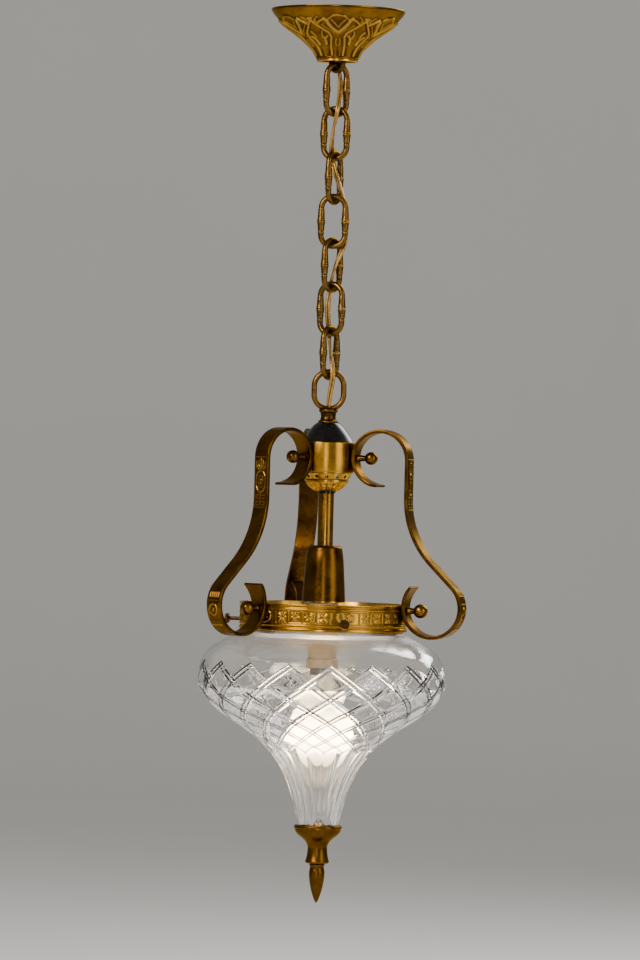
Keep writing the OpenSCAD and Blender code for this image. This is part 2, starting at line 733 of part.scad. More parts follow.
// Drop finial, screwed on the stud
module finial() {
    top = cup_low - 0.05;
    tip = cup_low - finial_l;
    side = through([[finial_r - 1.2, top], [finial_r, top - 1.2], [finial_r - 0.7, top - 3.6], [finial_r, top - 8.6],
        [finial_r - 0.5, top - 16], [finial_r - 2.2, top - 0.68 * finial_l], [2, tip + 3.2], [0, tip]], 3);
    color(dark_brass) lamp() difference() {
        turned(concat(side, [[0, top]]));
        rod(stud_r + fit, cup_low - 12.4, top + 1);
    }
}

// Clear lamp with a bayonet cap
module bulb_cap() {
    low = bulb_cap_top - bulb_cap_l;
    color(steel) lamp() union() {
        difference() {
            turned([[0, bulb_cap_top], [bulb_cap_r - 1, bulb_cap_top], [bulb_cap_r, bulb_cap_top - 1],
                [bulb_cap_r, low], [bulb_cap_r - 0.6, low], [bulb_cap_r - 0.6, bulb_cap_top - 3], [0, bulb_cap_top - 3]]);
            rod(bulb_cap_r - 3, bulb_cap_top - 0.6, bulb_cap_top + 1);
        }
        for (s = [-1, 1]) translate([s * 4.5, 0, bulb_cap_top - 1]) cylinder(r = 1.8, h = 1.9);
        for (a = [0, 180]) rotate(a - pin_turn) translate([0, 0, pin_z]) spoke(1.1, bulb_cap_r - 0.5, holder_bore_r + 0.9);
    }
}

module bulb_glass() {
    r = bulb_d / 2;
    neck = bulb_cap_r - 0.7;
    top = bulb_cap_top - bulb_cap_l + 4;
    side = concat(
        [[neck, top], [neck, top - 6]],
        curve([[neck, top - 8], [neck + 0.6, top - 22], [r - 0.3, bulb_z + 21], [r, bulb_z]], 12),
        tail(arc([0, bulb_z], r, 0, -86))
    );
    color("lightcyan", 0.3) lamp() difference() {
        turned(concat(side, [[0, bulb_tip]], [[0, top]]));
        turned(concat([[neck - 0.8, top + 1]], beside(side, 0.8), [[0, bulb_tip + 0.8], [0, top + 1]]));
    }
}

module bulb_mount() {
    top = bulb_cap_top - 3 - loose;
    color("lightcyan", 0.4) lamp() turned([[0, top], [6, top - 14], [3.4, top - 26], [1.6, bulb_z + 14], [0, bulb_z + 12]]);
    color("lightcyan", 0.4) lamp() for (s = [0, 180]) rotate(s) translate([1, 0, bulb_z + 15])
        rotate([0, 135, 0]) cylinder(r = 0.4, h = 11 * sqrt(2) - 0.45);
}

module bulb_filament() {
    color("gold") lamp() translate([0, 0, bulb_z + 4]) rotate([90, 0, 0]) rotate_extrude(angle = -180)
        translate([12, 0]) circle(r = 0.35, $fn = 16);
}

ceiling_plate();
hanger_rod();
rod_nut();
hanger_loop();
terminal_block();
terminal_screws();
flex();
ceiling_rose();
rose_ring();
link(1);  // link_1
link(2);  // link_2
link(3);  // link_3
link(4);  // link_4
link(5);  // link_5
link(6);  // link_6
link(7);  // link_7
top_ring();
ball_cap();
ball_drum();
pierced_ring();
fluted_cup();
tube_washer();
nipple();
stem_tube();
holder_cover();
cover_screw();
holder_cap();
holder_body();
contact_block();
contact_plungers();
stem_flex();
arm(1);  // arm_1
arm(2);  // arm_2
arm(3);  // arm_3
upper_ball_screws();
upper_nuts();
lower_ball_screws();
lower_nuts();
gallery();
thumbscrew(1);  // thumbscrew_1
thumbscrew(2);  // thumbscrew_2
thumbscrew(3);  // thumbscrew_3
glass_shade();
foot_washer();
shade_cup();
finial_stud();
inner_washer();
stud_nut();
finial();
bulb_cap();
bulb_glass();
bulb_mount();
bulb_filament();
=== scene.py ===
import math
from functools import partial

import bmesh
import bpy
import numpy as np
from mathutils import Matrix, Vector
from mathutils.geometry import interpolate_bezier


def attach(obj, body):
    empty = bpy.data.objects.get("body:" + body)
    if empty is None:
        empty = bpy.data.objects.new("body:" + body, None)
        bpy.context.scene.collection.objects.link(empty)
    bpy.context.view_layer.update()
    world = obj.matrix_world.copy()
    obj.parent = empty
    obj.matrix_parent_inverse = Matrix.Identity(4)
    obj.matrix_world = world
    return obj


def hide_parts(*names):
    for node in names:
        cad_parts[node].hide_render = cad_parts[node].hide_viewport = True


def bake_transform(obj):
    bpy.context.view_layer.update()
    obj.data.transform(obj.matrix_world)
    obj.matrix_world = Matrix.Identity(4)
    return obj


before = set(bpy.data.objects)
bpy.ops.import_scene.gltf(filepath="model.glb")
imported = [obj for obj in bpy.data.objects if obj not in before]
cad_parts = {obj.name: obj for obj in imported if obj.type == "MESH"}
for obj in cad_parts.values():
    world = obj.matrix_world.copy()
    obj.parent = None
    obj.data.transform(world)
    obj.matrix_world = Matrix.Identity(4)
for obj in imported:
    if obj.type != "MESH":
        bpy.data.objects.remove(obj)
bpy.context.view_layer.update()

# Sizes are in millimetres, and become metres where a mesh is made. The ceiling is at z = 0.
# Heights from the ring down to the finial count from the middle of the ring's top wire, at lampZ
lampZ = -325.5
mm = 0.001


# Lines that the pieces are spun from or bent along
def bezierLine(points, steps):
    return [(p.x, p.y) for p in interpolate_bezier(*[Vector((x, y)) for x, y in points], steps + 1)]


# A smooth line through every point, in two or three dimensions
def smoothLine(points, steps):
    p = [np.array(q, float) for q in points]
    line = []
    for i in range(len(p) - 1):
        a, b, c, d = p[max(i - 1, 0)], p[i], p[i + 1], p[min(i + 2, len(p) - 1)]
        for t in np.arange(steps) / steps:
            line.append(tuple((2 * b + (c - a) * t + (2 * a - 5 * b + 4 * c - d) * t * t
                               + (3 * b - a - 3 * c + d) * t ** 3) / 2))
    return line + [tuple(p[-1])]


def arcLine(centre, radius, start, end, step=3):
    count = max(2, math.ceil(abs(end - start) / step))
    return [(centre[0] + radius * math.cos(math.radians(a)), centre[1] + radius * math.sin(math.radians(a)))
            for a in np.linspace(start, end, count + 1)]


def besideLine(line, distance):
    p = np.array(line)
    run = np.gradient(p, axis=0)
    run /= np.linalg.norm(run, axis=1)[:, None]
    return [tuple(q) for q in p + distance * np.stack([run[:, 1], -run[:, 0]], 1)]


# Softens the corners of an outline, each by the radius or as much as its neighbours leave
def easeCorners(points, radius, closed=True):
    out = []
    for i, here in enumerate(points):
        p = np.array(here, float)
        back, ahead = np.array(points[i - 1], float) - p, np.array(points[(i + 1) % len(points)], float) - p
        la, lb = np.linalg.norm(back), np.linalg.norm(ahead)
        if (not closed and i in (0, len(points) - 1)) or np.dot(back, ahead) < -0.97 * la * lb:
            out.append(tuple(p))
            continue
        reach = min(radius, 0.45 * la, 0.45 * lb)
        q0, q1 = p + back / la * reach, p + ahead / lb * reach
        out += [tuple((1 - t) ** 2 * q0 + 2 * t * (1 - t) * p + t * t * q1) for t in (0, 0.33, 0.67, 1)]
    return out


def lengthsAlong(line):
    return np.concatenate([[0], np.cumsum(np.linalg.norm(np.diff(np.array(line), axis=0), axis=1))])


def evenPoints(line, spacing):
    p, lengths = np.array(line), lengthsAlong(line)
    even = np.linspace(0, lengths[-1], int(lengths[-1] / spacing))
    return np.stack([np.interp(even, lengths, p[:, k]) for k in range(p.shape[1])], 1), even


# An outline spun about Z. It runs down the outside, and back up the inside where it is closed.
# Part of the turn is spun and then doubled until it is whole, which takes far less time than one long spin
def spinOutline(outline, steps, closed=True):
    work = bmesh.new()
    parts = next(count for count in (32, 16, 8, 4, 2, 1) if steps % count == 0)
    angle = 2 * math.pi / parts
    corners = [work.verts.new((r * mm, 0, z * mm)) for r, z in outline]
    for first, second in zip(corners, corners[1:] + corners[:1] * closed):
        work.edges.new((first, second))
    bmesh.ops.spin(work, geom=work.verts[:] + work.edges[:], cent=(0, 0, 0), axis=(0, 0, 1), dvec=(0, 0, 0),
                   angle=angle, steps=steps // parts, use_merge=parts == 1, use_duplicate=False)
    while angle < 6.2:
        twin = bmesh.ops.duplicate(work, geom=work.verts[:] + work.edges[:] + work.faces[:])["geom"]
        bmesh.ops.rotate(work, verts=vertsOf(twin), cent=(0, 0, 0), matrix=Matrix.Rotation(angle, 3, "Z"))
        angle *= 2
    bmesh.ops.remove_doubles(work, verts=work.verts[:], dist=2e-6)
    bmesh.ops.recalc_face_normals(work, faces=work.faces[:])
    return work


# Embosses a turned surface: each point moves along its normal by lift(angle, radius, height)
def embossPiece(work, lift):
    work.normal_update()
    relief = work.verts.layers.float.get("relief") or work.verts.layers.float.new("relief")
    place = np.array([vert.co for vert in work.verts]) / mm
    raised = lift(np.arctan2(place[:, 1], place[:, 0]), np.hypot(place[:, 0], place[:, 1]), place[:, 2])
    for vert, height in zip(work.verts, raised):
        vert.co += vert.normal * float(height) * mm
        vert[relief] = float(height)


# The vertices among what an operator gives back
def vertsOf(geom):
    return [g for g in geom if isinstance(g, bmesh.types.BMVert)]


def makePiece(name, work, turn=0, z=0, sharp=None):
    bmesh.ops.transform(work, verts=work.verts[:],
                        matrix=Matrix.Translation((0, 0, z * mm)) @ Matrix.Rotation(math.radians(turn), 4, "Z"))
    for face in work.faces:
        face.smooth = True
    mesh = bpy.data.meshes.new(name)
    work.to_mesh(mesh)
    work.free()
    if sharp:
        mesh.set_sharp_from_angle(angle=math.radians(sharp))
    piece = bpy.data.objects.new(name, mesh)
    bpy.context.scene.collection.objects.link(piece)
    return piece


# A round bar along a line, with a radius for each point. It is drawn as a curve and added to the mesh
def addBar(work, line, radii, roundness=8, loop=False):
    drawn = bpy.data.curves.new("Bar", "CURVE")
    drawn.dimensions = "3D"
    drawn.bevel_depth = mm
    drawn.bevel_resolution = roundness
    drawn.use_fill_caps = not loop
    spline = drawn.splines.new("POLY")
    spline.points.add(len(line) - 1)
    spline.use_cyclic_u = loop
    for point, place, radius in zip(spline.points, line, radii):
        point.co = (*[v * mm for v in place], 1)
        point.radius = radius
    holder = bpy.data.objects.new("Bar", drawn)
    bpy.context.scene.collection.objects.link(holder)
    bpy.context.view_layer.update()
    mesh = bpy.data.meshes.new_from_object(holder.evaluated_get(bpy.context.evaluated_depsgraph_get()))
    bpy.data.objects.remove(holder)
    bpy.data.curves.remove(drawn)
    work.from_mesh(mesh)
    bpy.data.meshes.remove(mesh)
    bmesh.ops.remove_doubles(work, verts=work.verts[:], dist=1e-7)
    bmesh.ops.recalc_face_normals(work, faces=work.faces[:])


# Height of drawn strokes at the points (u, v). A stroke is its points, its half width and its height
def strokeHeight(u, v, strokes):
    best = np.zeros_like(u)
    for points, half, tall in strokes:
        near = np.full_like(u, 1e9)
        for (ax, ay), (bx, by) in zip(points, points[1:]):
            dx, dy = bx - ax, by - ay
            t = np.clip(((u - ax) * dx + (v - ay) * dy) / (dx * dx + dy * dy + 1e-12), 0, 1)
            near = np.minimum(near, np.hypot(u - ax - t * dx, v - ay - t * dy))
        best = np.maximum(best, tall * np.clip(1 - (near / half) ** 2, 0, 1) ** 0.7)
    return best


def bothSides(strokes):
    return strokes + [([(-x, y) for x, y in points], half, tall) for points, half, tall in strokes]


# Makes the piece that stands for a CAD node. It is named for the node, as BallCap is for ball_cap
def addPiece(work, node, finish, body="lamp", turn=0, z=lampZ, sharp=None, number=""):
    name = "".join(word.capitalize() for word in node.split("_")) + str(number)
    piece = makePiece(name, work, turn, z, sharp)
    piece.data.materials.append(materials[finish])
    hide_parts(node)
    if body:
        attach(piece, body)
    return piece


# sRGB hex to linear
def linear(code):
    values = [int(code[i:i + 2], 16) / 255 for i in (0, 2, 4)]
    return tuple(v / 12.92 if v <= 0.04045 else ((v + 0.055) / 1.055) ** 2.4 for v in values) + (1,)


# Adds a node with its settings and links, and gives the output that is asked for
def addNode(tree, kind, inputs=None, output=0, **settings):
    made = tree.nodes.new("ShaderNode" + kind)
    for key, value in settings.items():
        setattr(made, key, value)
    for key, value in (inputs or {}).items():
        if isinstance(value, bpy.types.NodeSocket):
            tree.links.new(value, made.inputs[key])
        else:
            made.inputs[key].default_value = value
    return made.outputs[output] if made.outputs else made


def startMaterial(name):
    material = bpy.data.materials.new(name)
    material.use_nodes = True
    material.node_tree.nodes.clear()
    add = partial(addNode, material.node_tree)
    return material, add, add("TexCoord", output="Object")


def endMaterial(add, inputs):
    add("OutputMaterial", {"Surface": add("BsdfPrincipled", inputs)})


# What every old surface has: two clouded tones, specks, and darkened hollows that are partly dirt and partly painted
# shade
def agedBase(add, place, look, tones, speckTone):
    cloud = add("TexNoise", {"Vector": place, "Scale": look["cloud"], "Detail": look["detail"],
                             "Roughness": look["soft"]})
    cloud = add("MapRange", {"Value": cloud, "From Min": 0.35, "From Max": look["cloudTo"]})
    speck = add("TexNoise", {"Vector": place, "Scale": look["speck"], "Detail": 3, "Roughness": 0.7})
    speck = add("MapRange", {"Value": speck, "From Min": look["speckFrom"], "From Max": look["speckTo"],
                             "To Max": look["specks"]})
    # Ambient occlusion darkens the hollows towards the first colour: dirt, and painted shade where shadow falls
    dirtAndShade = add("AmbientOcclusion", {"Distance": look["reach"]}, "AO", samples=look["samples"])
    dirtAndShade = add("MapRange", {"Value": dirtAndShade, "From Min": 0.3, "From Max": 0.95, "To Min": look["grime"],
                              "To Max": 0.0})
    base = add("Mix", {0: cloud, 6: tones[1], 7: tones[2]}, 2, data_type="RGBA")
    base = add("Mix", {0: speck, 6: base, 7: speckTone}, 2, data_type="RGBA")
    base = add("Mix", {0: dirtAndShade, 6: base, 7: tones[0]}, 2, data_type="RGBA")
    rough = add("MapRange", {"Value": cloud, "To Min": look["rough"][0], "To Max": look["rough"][1]})
    return base, rough, dirtAndShade


# Old lacquered brass. It is dark in its hollows, partly patina and partly painted shade, golden on open faces, and
# lighter where it is
# raised or has an edge: rubbed wear, and on raised lines also a painted highlight. Its grain is 0.7 to 1.2 mm, drawn
# about twice as coarse as fine wire wool leaves it
def agedBrass(name, look):
    look = {**brassSkin, **look}
    material, add, place = startMaterial(name)
    tones = [linear(code) for code in look["colours"]]
    dark, bright = tones[0], tones[3]
    base, rough, dirtAndShade = agedBase(add, place, look, tones, dark)
    edge = add("NewGeometry", output="Pointiness")
    edge = add("MapRange", {"Value": edge, "From Min": look["rub"][0], "From Max": look["rub"][1],
                            "To Max": look["wear"]})
    low, high = look["relief"]
    relief = add("Attribute", output="Fac", attribute_name="relief")
    # Raised relief and edges are lightened: rubbed wear, and on the raised lines also a painted highlight
    raised = add("MapRange", {"Value": relief, "From Min": low, "From Max": high, "To Max": look["shine"]})
    wearAndHighlight = add("Math", {0: edge, 1: raised}, operation="MAXIMUM")
    # Painted shade in the corner at the foot of each raised line
    foot = add("MapRange", {"Value": relief, "From Min": 0.02, "From Max": low, "To Max": look["wax"]})
    flank = add("MapRange", {"Value": relief, "From Min": low, "From Max": low + 0.4, "To Min": 1,
                             "To Max": 0})
    wax = add("Math", {0: foot, 1: flank}, operation="MULTIPLY")
    base = add("Mix", {0: wearAndHighlight, 6: base, 7: bright}, 2, data_type="RGBA")
    base = add("Mix", {0: wax, 6: base, 7: dark}, 2, data_type="RGBA")
    rough = add("Math", {0: dirtAndShade, 1: look["dull"], 2: rough}, operation="MULTIPLY_ADD")
    rough = add("Math", {0: wearAndHighlight, 1: -look["gloss"], 2: rough}, operation="MULTIPLY_ADD")
    lay = add("Mapping", {"Vector": place, "Scale": look["lay"]})
    grain = add("TexNoise", {"Vector": lay, "Scale": look["grain"], "Detail": 3})
    fine = add("Bump", {"Strength": look["bump"], "Distance": 0.00015, "Height": grain})
    dents = add("TexNoise", {"Vector": place, "Scale": look["dentScale"], "Detail": 3})
    shape = add("Bump", {"Strength": look["dents"], "Distance": 0.0008, "Height": dents, "Normal": fine})
    endMaterial(add, {"Base Color": base, "Roughness": rough, "Normal": shape, "Metallic": 1,
                      "Specular Tint": linear(look["rim"])})
    return material


# Colours: dirt and painted shade, deep tone, open tone, rubbed wear and painted highlight. Relief is in millimetres,
# as the embossed pieces carry it.
# Cloud, speck, grain and dentScale are repeats in a metre, so 1000 is 1 mm apart
brassSkin = {"detail": 6, "soft": 0.65, "cloudTo": 0.68, "speckFrom": 0.58, "speckTo": 0.72, "specks": 0.35,
             "samples": 6, "dull": 0.2, "gloss": 0.08, "lay": (1, 1, 1)}
brassLooks = {
    # Thin sheet pressed over a die: soft dents, and painted shade at the foot of the pattern's lines
    "PressedRoseBrass": {
        "colours": ("140B03", "5E3E0E", "8E6419", "E6B650"), "rim": "F0DCB0", "cloud": 45, "speck": 420,
        "reach": 0.007, "rub": (0.52, 0.62), "relief": (0.3, 1.7), "grime": 1.0, "wear": 0.25, "shine": 0.35,
        "wax": 0.8, "rough": (0.2, 0.34), "grain": 1200, "bump": 0.12, "dents": 0.08, "dentScale": 160},
    # Sheet rolled flat and stamped, then polished
    "StampedBandBrass": {
        "colours": ("33200A", "92671A", "BD8B2B", "ECC468"), "rim": "F0DCB0", "cloud": 45, "speck": 420,
        "reach": 0.003, "rub": (0.52, 0.60), "relief": (0.15, 0.8), "grime": 1.0, "wear": 0.4, "shine": 0.4,
        "wax": 0.6, "rough": (0.16, 0.3), "grain": 1400, "bump": 0.1, "dents": 0.05, "dentScale": 120},
    # Spun on a lathe: rings run round it, 1 mm apart
    "SpunDrumBrass": {
        "colours": ("33200A", "8E6418", "B58428", "E8C068"), "rim": "F0DCB0", "cloud": 50, "speck": 500,
        "reach": 0.003, "rub": (0.52, 0.62), "relief": (0.1, 0.5), "grime": 0.7, "wear": 0.5, "shine": 0.6,
        "wax": 0.6, "rough": (0.2, 0.3), "grain": 900, "bump": 0.2, "dents": 0.02, "dentScale": 160,
        "lay": (0.05, 0.05, 3)},
    # Strap and turned pieces toned dark brown and lacquered, golden where the tone has worn
    "TonedBrass": {
        "colours": ("150D05", "442C0C", "664412", "BC8C3A"), "rim": "DCCFB8", "cloud": 55, "speck": 380,
        "reach": 0.004, "rub": (0.515, 0.57), "relief": (0.1, 0.55), "grime": 0.85, "wear": 0.9, "shine": 0.55,
        "wax": 0.7, "rough": (0.2, 0.36), "grain": 1200, "bump": 0.14, "dents": 0.06, "dentScale": 160},
    # Sand cast and toned nearly black: an uneven skin with lumps 5 mm across
    "CastChainBrass": {
        "colours": ("0D0804", "35240E", "523814", "BA8E46"), "rim": "CCC0AA", "cloud": 130, "speck": 600,
        "reach": 0.004, "rub": (0.51, 0.58), "relief": (0.3, 1.2), "grime": 0.9, "wear": 0.75, "shine": 0.3,
        "wax": 0.5, "rough": (0.22, 0.42), "grain": 1500, "bump": 0.22, "dents": 0.5, "dentScale": 210},
}
materials = {name: agedBrass(name, look) for name, look in brassLooks.items()}


# Everything else that is opaque. Its specks have its worn tone
def workedSurface(name, look):
    look = {**workedSkin, **look}
    material, add, place = startMaterial(name)
    tones = [linear(code) for code in look["colours"]]
    base, rough = agedBase(add, place, look, tones, tones[3])[:2]
    grain = add("TexNoise", {"Vector": place, "Scale": look["grain"], "Detail": 3})
    bump = add("Bump", {"Strength": look["bump"], "Distance": 0.0002, "Height": grain})
    endMaterial(add, {"Base Color": base, "Roughness": rough, "Normal": bump, "Metallic": look["metal"],
                      "Specular IOR Level": look["level"], "Coat Weight": look["coat"], "Coat Roughness": 0.06})
    return material


workedSkin = {"detail": 5, "soft": 0.6, "cloudTo": 0.65, "speckFrom": 0.55, "speckTo": 0.7, "samples": 4,
              "reach": 0.003, "metal": 0, "level": 0.5, "coat": 0}
surfaceLooks = {
    # Black japan over brass: deep gloss, and the brass shows in a few pinholes
    "BlackJapan": {
        "colours": ("020202", "060504", "0D0B09", "3A2C1A"), "cloud": 70, "speck": 500, "specks": 0.4, "grime": 0.3,
        "rough": (0.16, 0.3), "grain": 700, "bump": 0.06, "level": 0.2},
    # Bright mild steel, a little dull with age
    "DullSteel": {
        "colours": ("2B2926", "76726B", "96918A", "C6C2BA"), "cloud": 80, "speck": 600, "specks": 0.5, "grime": 0.6,
        "rough": (0.28, 0.42), "grain": 1200, "bump": 0.2, "metal": 1},
    # Moulded urea that the bulb's heat has browned to amber cream
    "MouldedUrea": {
        "colours": ("6B4C24", "CFAE7C", "DCBF92", "B98F58"), "cloud": 60, "speck": 500, "specks": 0.4, "grime": 0.6,
        "rough": (0.2, 0.32), "grain": 500, "bump": 0.08, "coat": 0.3},
    # Glazed porcelain: cool white and glassy
    "GlazedPorcelain": {
        "colours": ("8C877C", "DEDBD2", "EAE8E1", "C8C4B8"), "cloud": 60, "speck": 500, "specks": 0.3, "grime": 0.4,
        "rough": (0.12, 0.2), "grain": 400, "bump": 0.05, "coat": 0.6},
    # Twin flex in a gold coloured vinyl sheath, drawn: a metallic lustre under a glossy skin
    "GoldVinylFlex": {
        "colours": ("2E1D08", "8F6822", "B88C38", "E2C27A"), "cloud": 90, "speck": 900, "specks": 0.4, "grime": 0.8,
        "rough": (0.24, 0.36), "grain": 1500, "bump": 0.15, "metal": 0.7, "coat": 0.35},
    # Pressed vulcan fibre: reddish brown and matt
    "VulcanFibre": {
        "colours": ("20120A", "4E2F1C", "64402A", "7A5438"), "cloud": 90, "speck": 900, "specks": 0.6, "grime": 0.5,
        "rough": (0.6, 0.8), "grain": 1800, "bump": 0.5},
    # Cast brass blackened in acid, worn to brass at its corners
    "BlackenedBrass": {
        "colours": ("0B0704", "2A1B0C", "47300F", "A87C36"), "cloud": 90, "speck": 500, "specks": 0.5, "grime": 0.6,
        "rough": (0.22, 0.36), "grain": 1200, "bump": 0.12, "metal": 1},
}
materials.update({name: workedSurface(name, look) for name, look in surfaceLooks.items()})


# Glass, with a faint smear of handling in its gloss and seeds about 1 mm apart
def glassMaterial(name, look):
    material, add, place = startMaterial(name)
    height = add("SeparateXYZ", {"Vector": place}, 2)
    smear = add("TexNoise", {"Vector": place, "Scale": 40, "Detail": 5})
    smear = add("MapRange", {"Value": smear, "From Min": 0.45, "From Max": 0.75, "To Min": look["rough"][0],
                             "To Max": look["rough"][1]})
    seeds = add("TexNoise", {"Vector": place, "Scale": 900, "Detail": 2})
    bump = add("Bump", {"Strength": look["bump"], "Distance": 0.0001, "Height": seeds})
    if "ground" in look:
        low, high = look["ground"]
        ground = add("MapRange", {"Value": height, "From Min": low * mm, "From Max": high * mm,
                                  "To Max": look["groundRough"]})
        smear = add("Math", {0: smear, 1: ground}, operation="ADD")
    inputs = {"Base Color": linear(look["tint"]), "IOR": look["index"], "Transmission Weight": 1, "Roughness": smear,
              "Normal": bump}
    if "glow" in look:
        glow = height
        for operation, value in (("SUBTRACT", look["glowZ"] * mm), ("DIVIDE", look["glowReach"] * mm),
                                 ("POWER", 2), ("MULTIPLY", -1)):
            glow = add("Math", {0: glow, 1: value}, operation=operation)
        glow = add("Math", {0: glow}, operation="EXPONENT")
        glow = add("Math", {0: glow, 1: look["glow"], 2: look["haze"]}, operation="MULTIPLY_ADD")
        inputs.update({"Emission Color": linear(look["glowColour"]), "Emission Strength": glow})
    endMaterial(add, inputs)
    return material


glassLooks = {
    # Lead crystal, blown, cut and acid polished: heavy, clear and faintly warm, with its top left dull and milky
    "CutCrystal": {"tint": "FFFDFA", "index": 1.545, "rough": (0.0, 0.04), "bump": 0.02,
                   "ground": (lampZ - 254, lampZ - 240), "groundRough": 0.32},
    # Soda glass etched inside: the filament's light spreads in it, strongest beside the filament
    "PearlBulbGlass": {"tint": "FFFCF4", "index": 1.5, "rough": (0.3, 0.4), "bump": 0.02, "glow": 6, "haze": 0.12,
                       "glowZ": lampZ - 324, "glowReach": 16, "glowColour": "FFE6C0"},
    # Clear glass of the stem that holds the filament inside the bulb
    "StemGlass": {"tint": "FFFFFF", "index": 1.5, "rough": (0.0, 0.02), "bump": 0.01},
}
materials.update({name: glassMaterial(name, look) for name, look in glassLooks.items()})

# Tungsten at white heat: its turns flicker a little in strength
materials["HotTungsten"], add, place = startMaterial("HotTungsten")
turns = add("TexNoise", {"Vector": place, "Scale": 300, "Detail": 2})
turns = add("MapRange", {"Value": turns, "From Min": 0.3, "From Max": 0.7, "To Min": 100.0, "To Max": 140.0})
endMaterial(add, {"Base Color": linear("FFD8A0"), "Emission Color": linear("FFD8A0"), "Emission Strength": turns})

# Studio paper: pale and matt, with a hardly visible cloud
studioPaper, add, place = startMaterial("StudioPaper")
paper = add("TexNoise", {"Vector": place, "Scale": 2})
paper = add("Mix", {0: paper, 6: linear("EDECE9"), 7: linear("F2F1EE")}, 2, data_type="RGBA")
endMaterial(add, {"Base Color": paper, "Roughness": 0.8})
print("materials made")

# Camera, floor and light
view = {"distance": 4.86, "eye": -0.414, "aim": -0.423, "side": -0.0060, "roll": 1.45, "lens": 202.5}
camera = bpy.data.objects.new("Camera", bpy.data.cameras.new("Camera"))
bpy.context.scene.collection.objects.link(camera)
camera.data.sensor_fit = "VERTICAL"
camera.data.sensor_height = 36
camera.data.lens = view["lens"]
camera.data.clip_end = 50
camera.location = (view["side"], -view["distance"], view["eye"])
aim = Vector((view["side"], 0, view["aim"])) - camera.location
camera.matrix_world = (Matrix.Translation(camera.location) @ aim.to_track_quat("-Z", "Y").to_matrix().to_4x4()
                       @ Matrix.Rotation(math.radians(view["roll"]), 4, "Z"))
bpy.context.scene.camera = camera

# Metres: a floor that bends up into the wall behind
sweep = {"floorZ": -1.05, "back": 8, "front": -8, "halfWidth": 9, "bend": 2.5, "top": 5}
bendY = sweep["back"] - sweep["bend"]
sweepLine = [(sweep["front"], sweep["floorZ"]), (bendY, sweep["floorZ"])]
sweepLine += arcLine((bendY, sweep["floorZ"] + sweep["bend"]), sweep["bend"], -90, 0, 6)[1:]
sweepLine += [(sweep["back"], sweep["top"])]
work = bmesh.new()
corners = [work.verts.new((-sweep["halfWidth"], y, z)) for y, z in sweepLine]
edges = [work.edges.new(pair) for pair in zip(corners, corners[1:])]
pulled = bmesh.ops.extrude_edge_only(work, edges=edges)["geom"]
bmesh.ops.translate(work, verts=vertsOf(pulled), vec=(2 * sweep["halfWidth"], 0, 0))
backdrop = makePiece("Backdrop", work)
backdrop.data.materials.append(studioPaper)

# Metres and watts. Each light faces the middle of the lamp
lights = [
    {"name": "Key", "at": (-1.6, -2.0, 0.9), "size": (1.2, 1.4), "watts": 78, "colour": "FFF4E6"},
    {"name": "Fill", "at": (2.2, -1.8, 0.1), "size": (1.2, 2.0), "watts": 30, "colour": "F3F4FF"},
    {"name": "Rim", "at": (1.3, 1.6, 0.9), "size": (1.0, 1.6), "watts": 52, "colour": "FFFFFF"},
    {"name": "Front", "at": (-0.3, -3.6, -0.35), "size": (0.5, 1.3), "watts": 14, "colour": "FFFFFF"},
]
studio = {"aim": -0.4, "sky": "E2E1DF", "skyStrength": 0.42}
for light in lights:
    lamp = bpy.data.objects.new(light["name"], bpy.data.lights.new(light["name"], "AREA"))
    bpy.context.scene.collection.objects.link(lamp)
    lamp.data.shape = "RECTANGLE"
    lamp.data.size, lamp.data.size_y = light["size"]
    lamp.data.energy = light["watts"]
    lamp.data.color = linear(light["colour"])[:3]
    lamp.location = light["at"]
    lamp.rotation_euler = (Vector((0, 0, studio["aim"])) - lamp.location).to_track_quat("-Z", "Y").to_euler()
world = bpy.data.worlds.new("Studio")
bpy.context.scene.world = world
world.use_nodes = True
world.node_tree.nodes["Background"].inputs[0].default_value = linear(studio["sky"])
world.node_tree.nodes["Background"].inputs[1].default_value = studio["skyStrength"]
print("camera and light set")

# Ceiling rose: a cone pressed with a pattern that repeats round it
rose = {
    "radius": 60.3, "neck": 18.5, "height": 45, "sheet": 1.0, "steps": 576, "rows": 112, "motifs": 6,
    # Half of the pressed pattern as seen from the front: (x, z) points, half width and height of each ribbon
    "arch": ([(0, -8.3), (-5.2, -9.2), (-8.6, -11.3)], 1.6, 1.5),
    "diamond": ([(-6.6, -12.2), (-3.0, -15.2), (0, -18.4)], 1.2, 1.3),
    "vee": ([(-18.4, -15), (-16.6, -13), (-13.2, -11.3), (-10.8, -12.4), (-8.6, -15.8), (-5.2, -18.9), (0, -22.6)],
            2.1, 2.0),
    "veeEdge": ([(-14.8, -16.3), (-11.2, -18.2), (-6.2, -20.9), (0, -24.8)], 0.9, 1.2),
    "stem": ([(-27.6, -10.8), (-23.2, -13.7), (-18.2, -16.9), (-12.9, -19.9), (-8.0, -22.6), (-5.7, -26.3),
              (-5.9, -30.4), (-5.7, -34.5), (-4.6, -41.5)], 1.5, 1.7),
    "lobe": ([(-9.6, -25.6), (-10.9, -28.4), (-9.7, -32.2)], 2.0, 1.6),
    "sideLobe": ([(-14.4, -21.6), (-14.3, -24.2), (-12.4, -27)], 1.5, 1.5),
    "tear": ([(-1.4, -27.8), (-2.2, -30.6), (-1.0, -33.6)], 1.2, 1.1),
    "curl": ([(-19.4, -9.8), (-21.6, -11.9), (-20.6, -13.8)], 1.4, 1.3),
    # Two beads, one near each edge: distance from the edge, half width and height
    "beadHigh": (1.4, 0.8, 0.35), "beadLow": (1.2, 0.7, 0.8), "fluteDeep": 0.35, "fluteLong": 14, "flutes": 3,
    # The pattern fades out over these lengths at the top and the neck
    "fadeHigh": 2, "fadeLow": 1.5,
}
roseLine = bezierLine([(rose["radius"], 0), (rose["radius"] - 2.8, -0.3 * rose["height"]),
                       (rose["neck"] + 1.6, -0.62 * rose["height"]), (rose["neck"], -rose["height"])], rose["rows"])
roseR, roseZ = np.array(roseLine).T
roseAlong = lengthsAlong(roseLine)


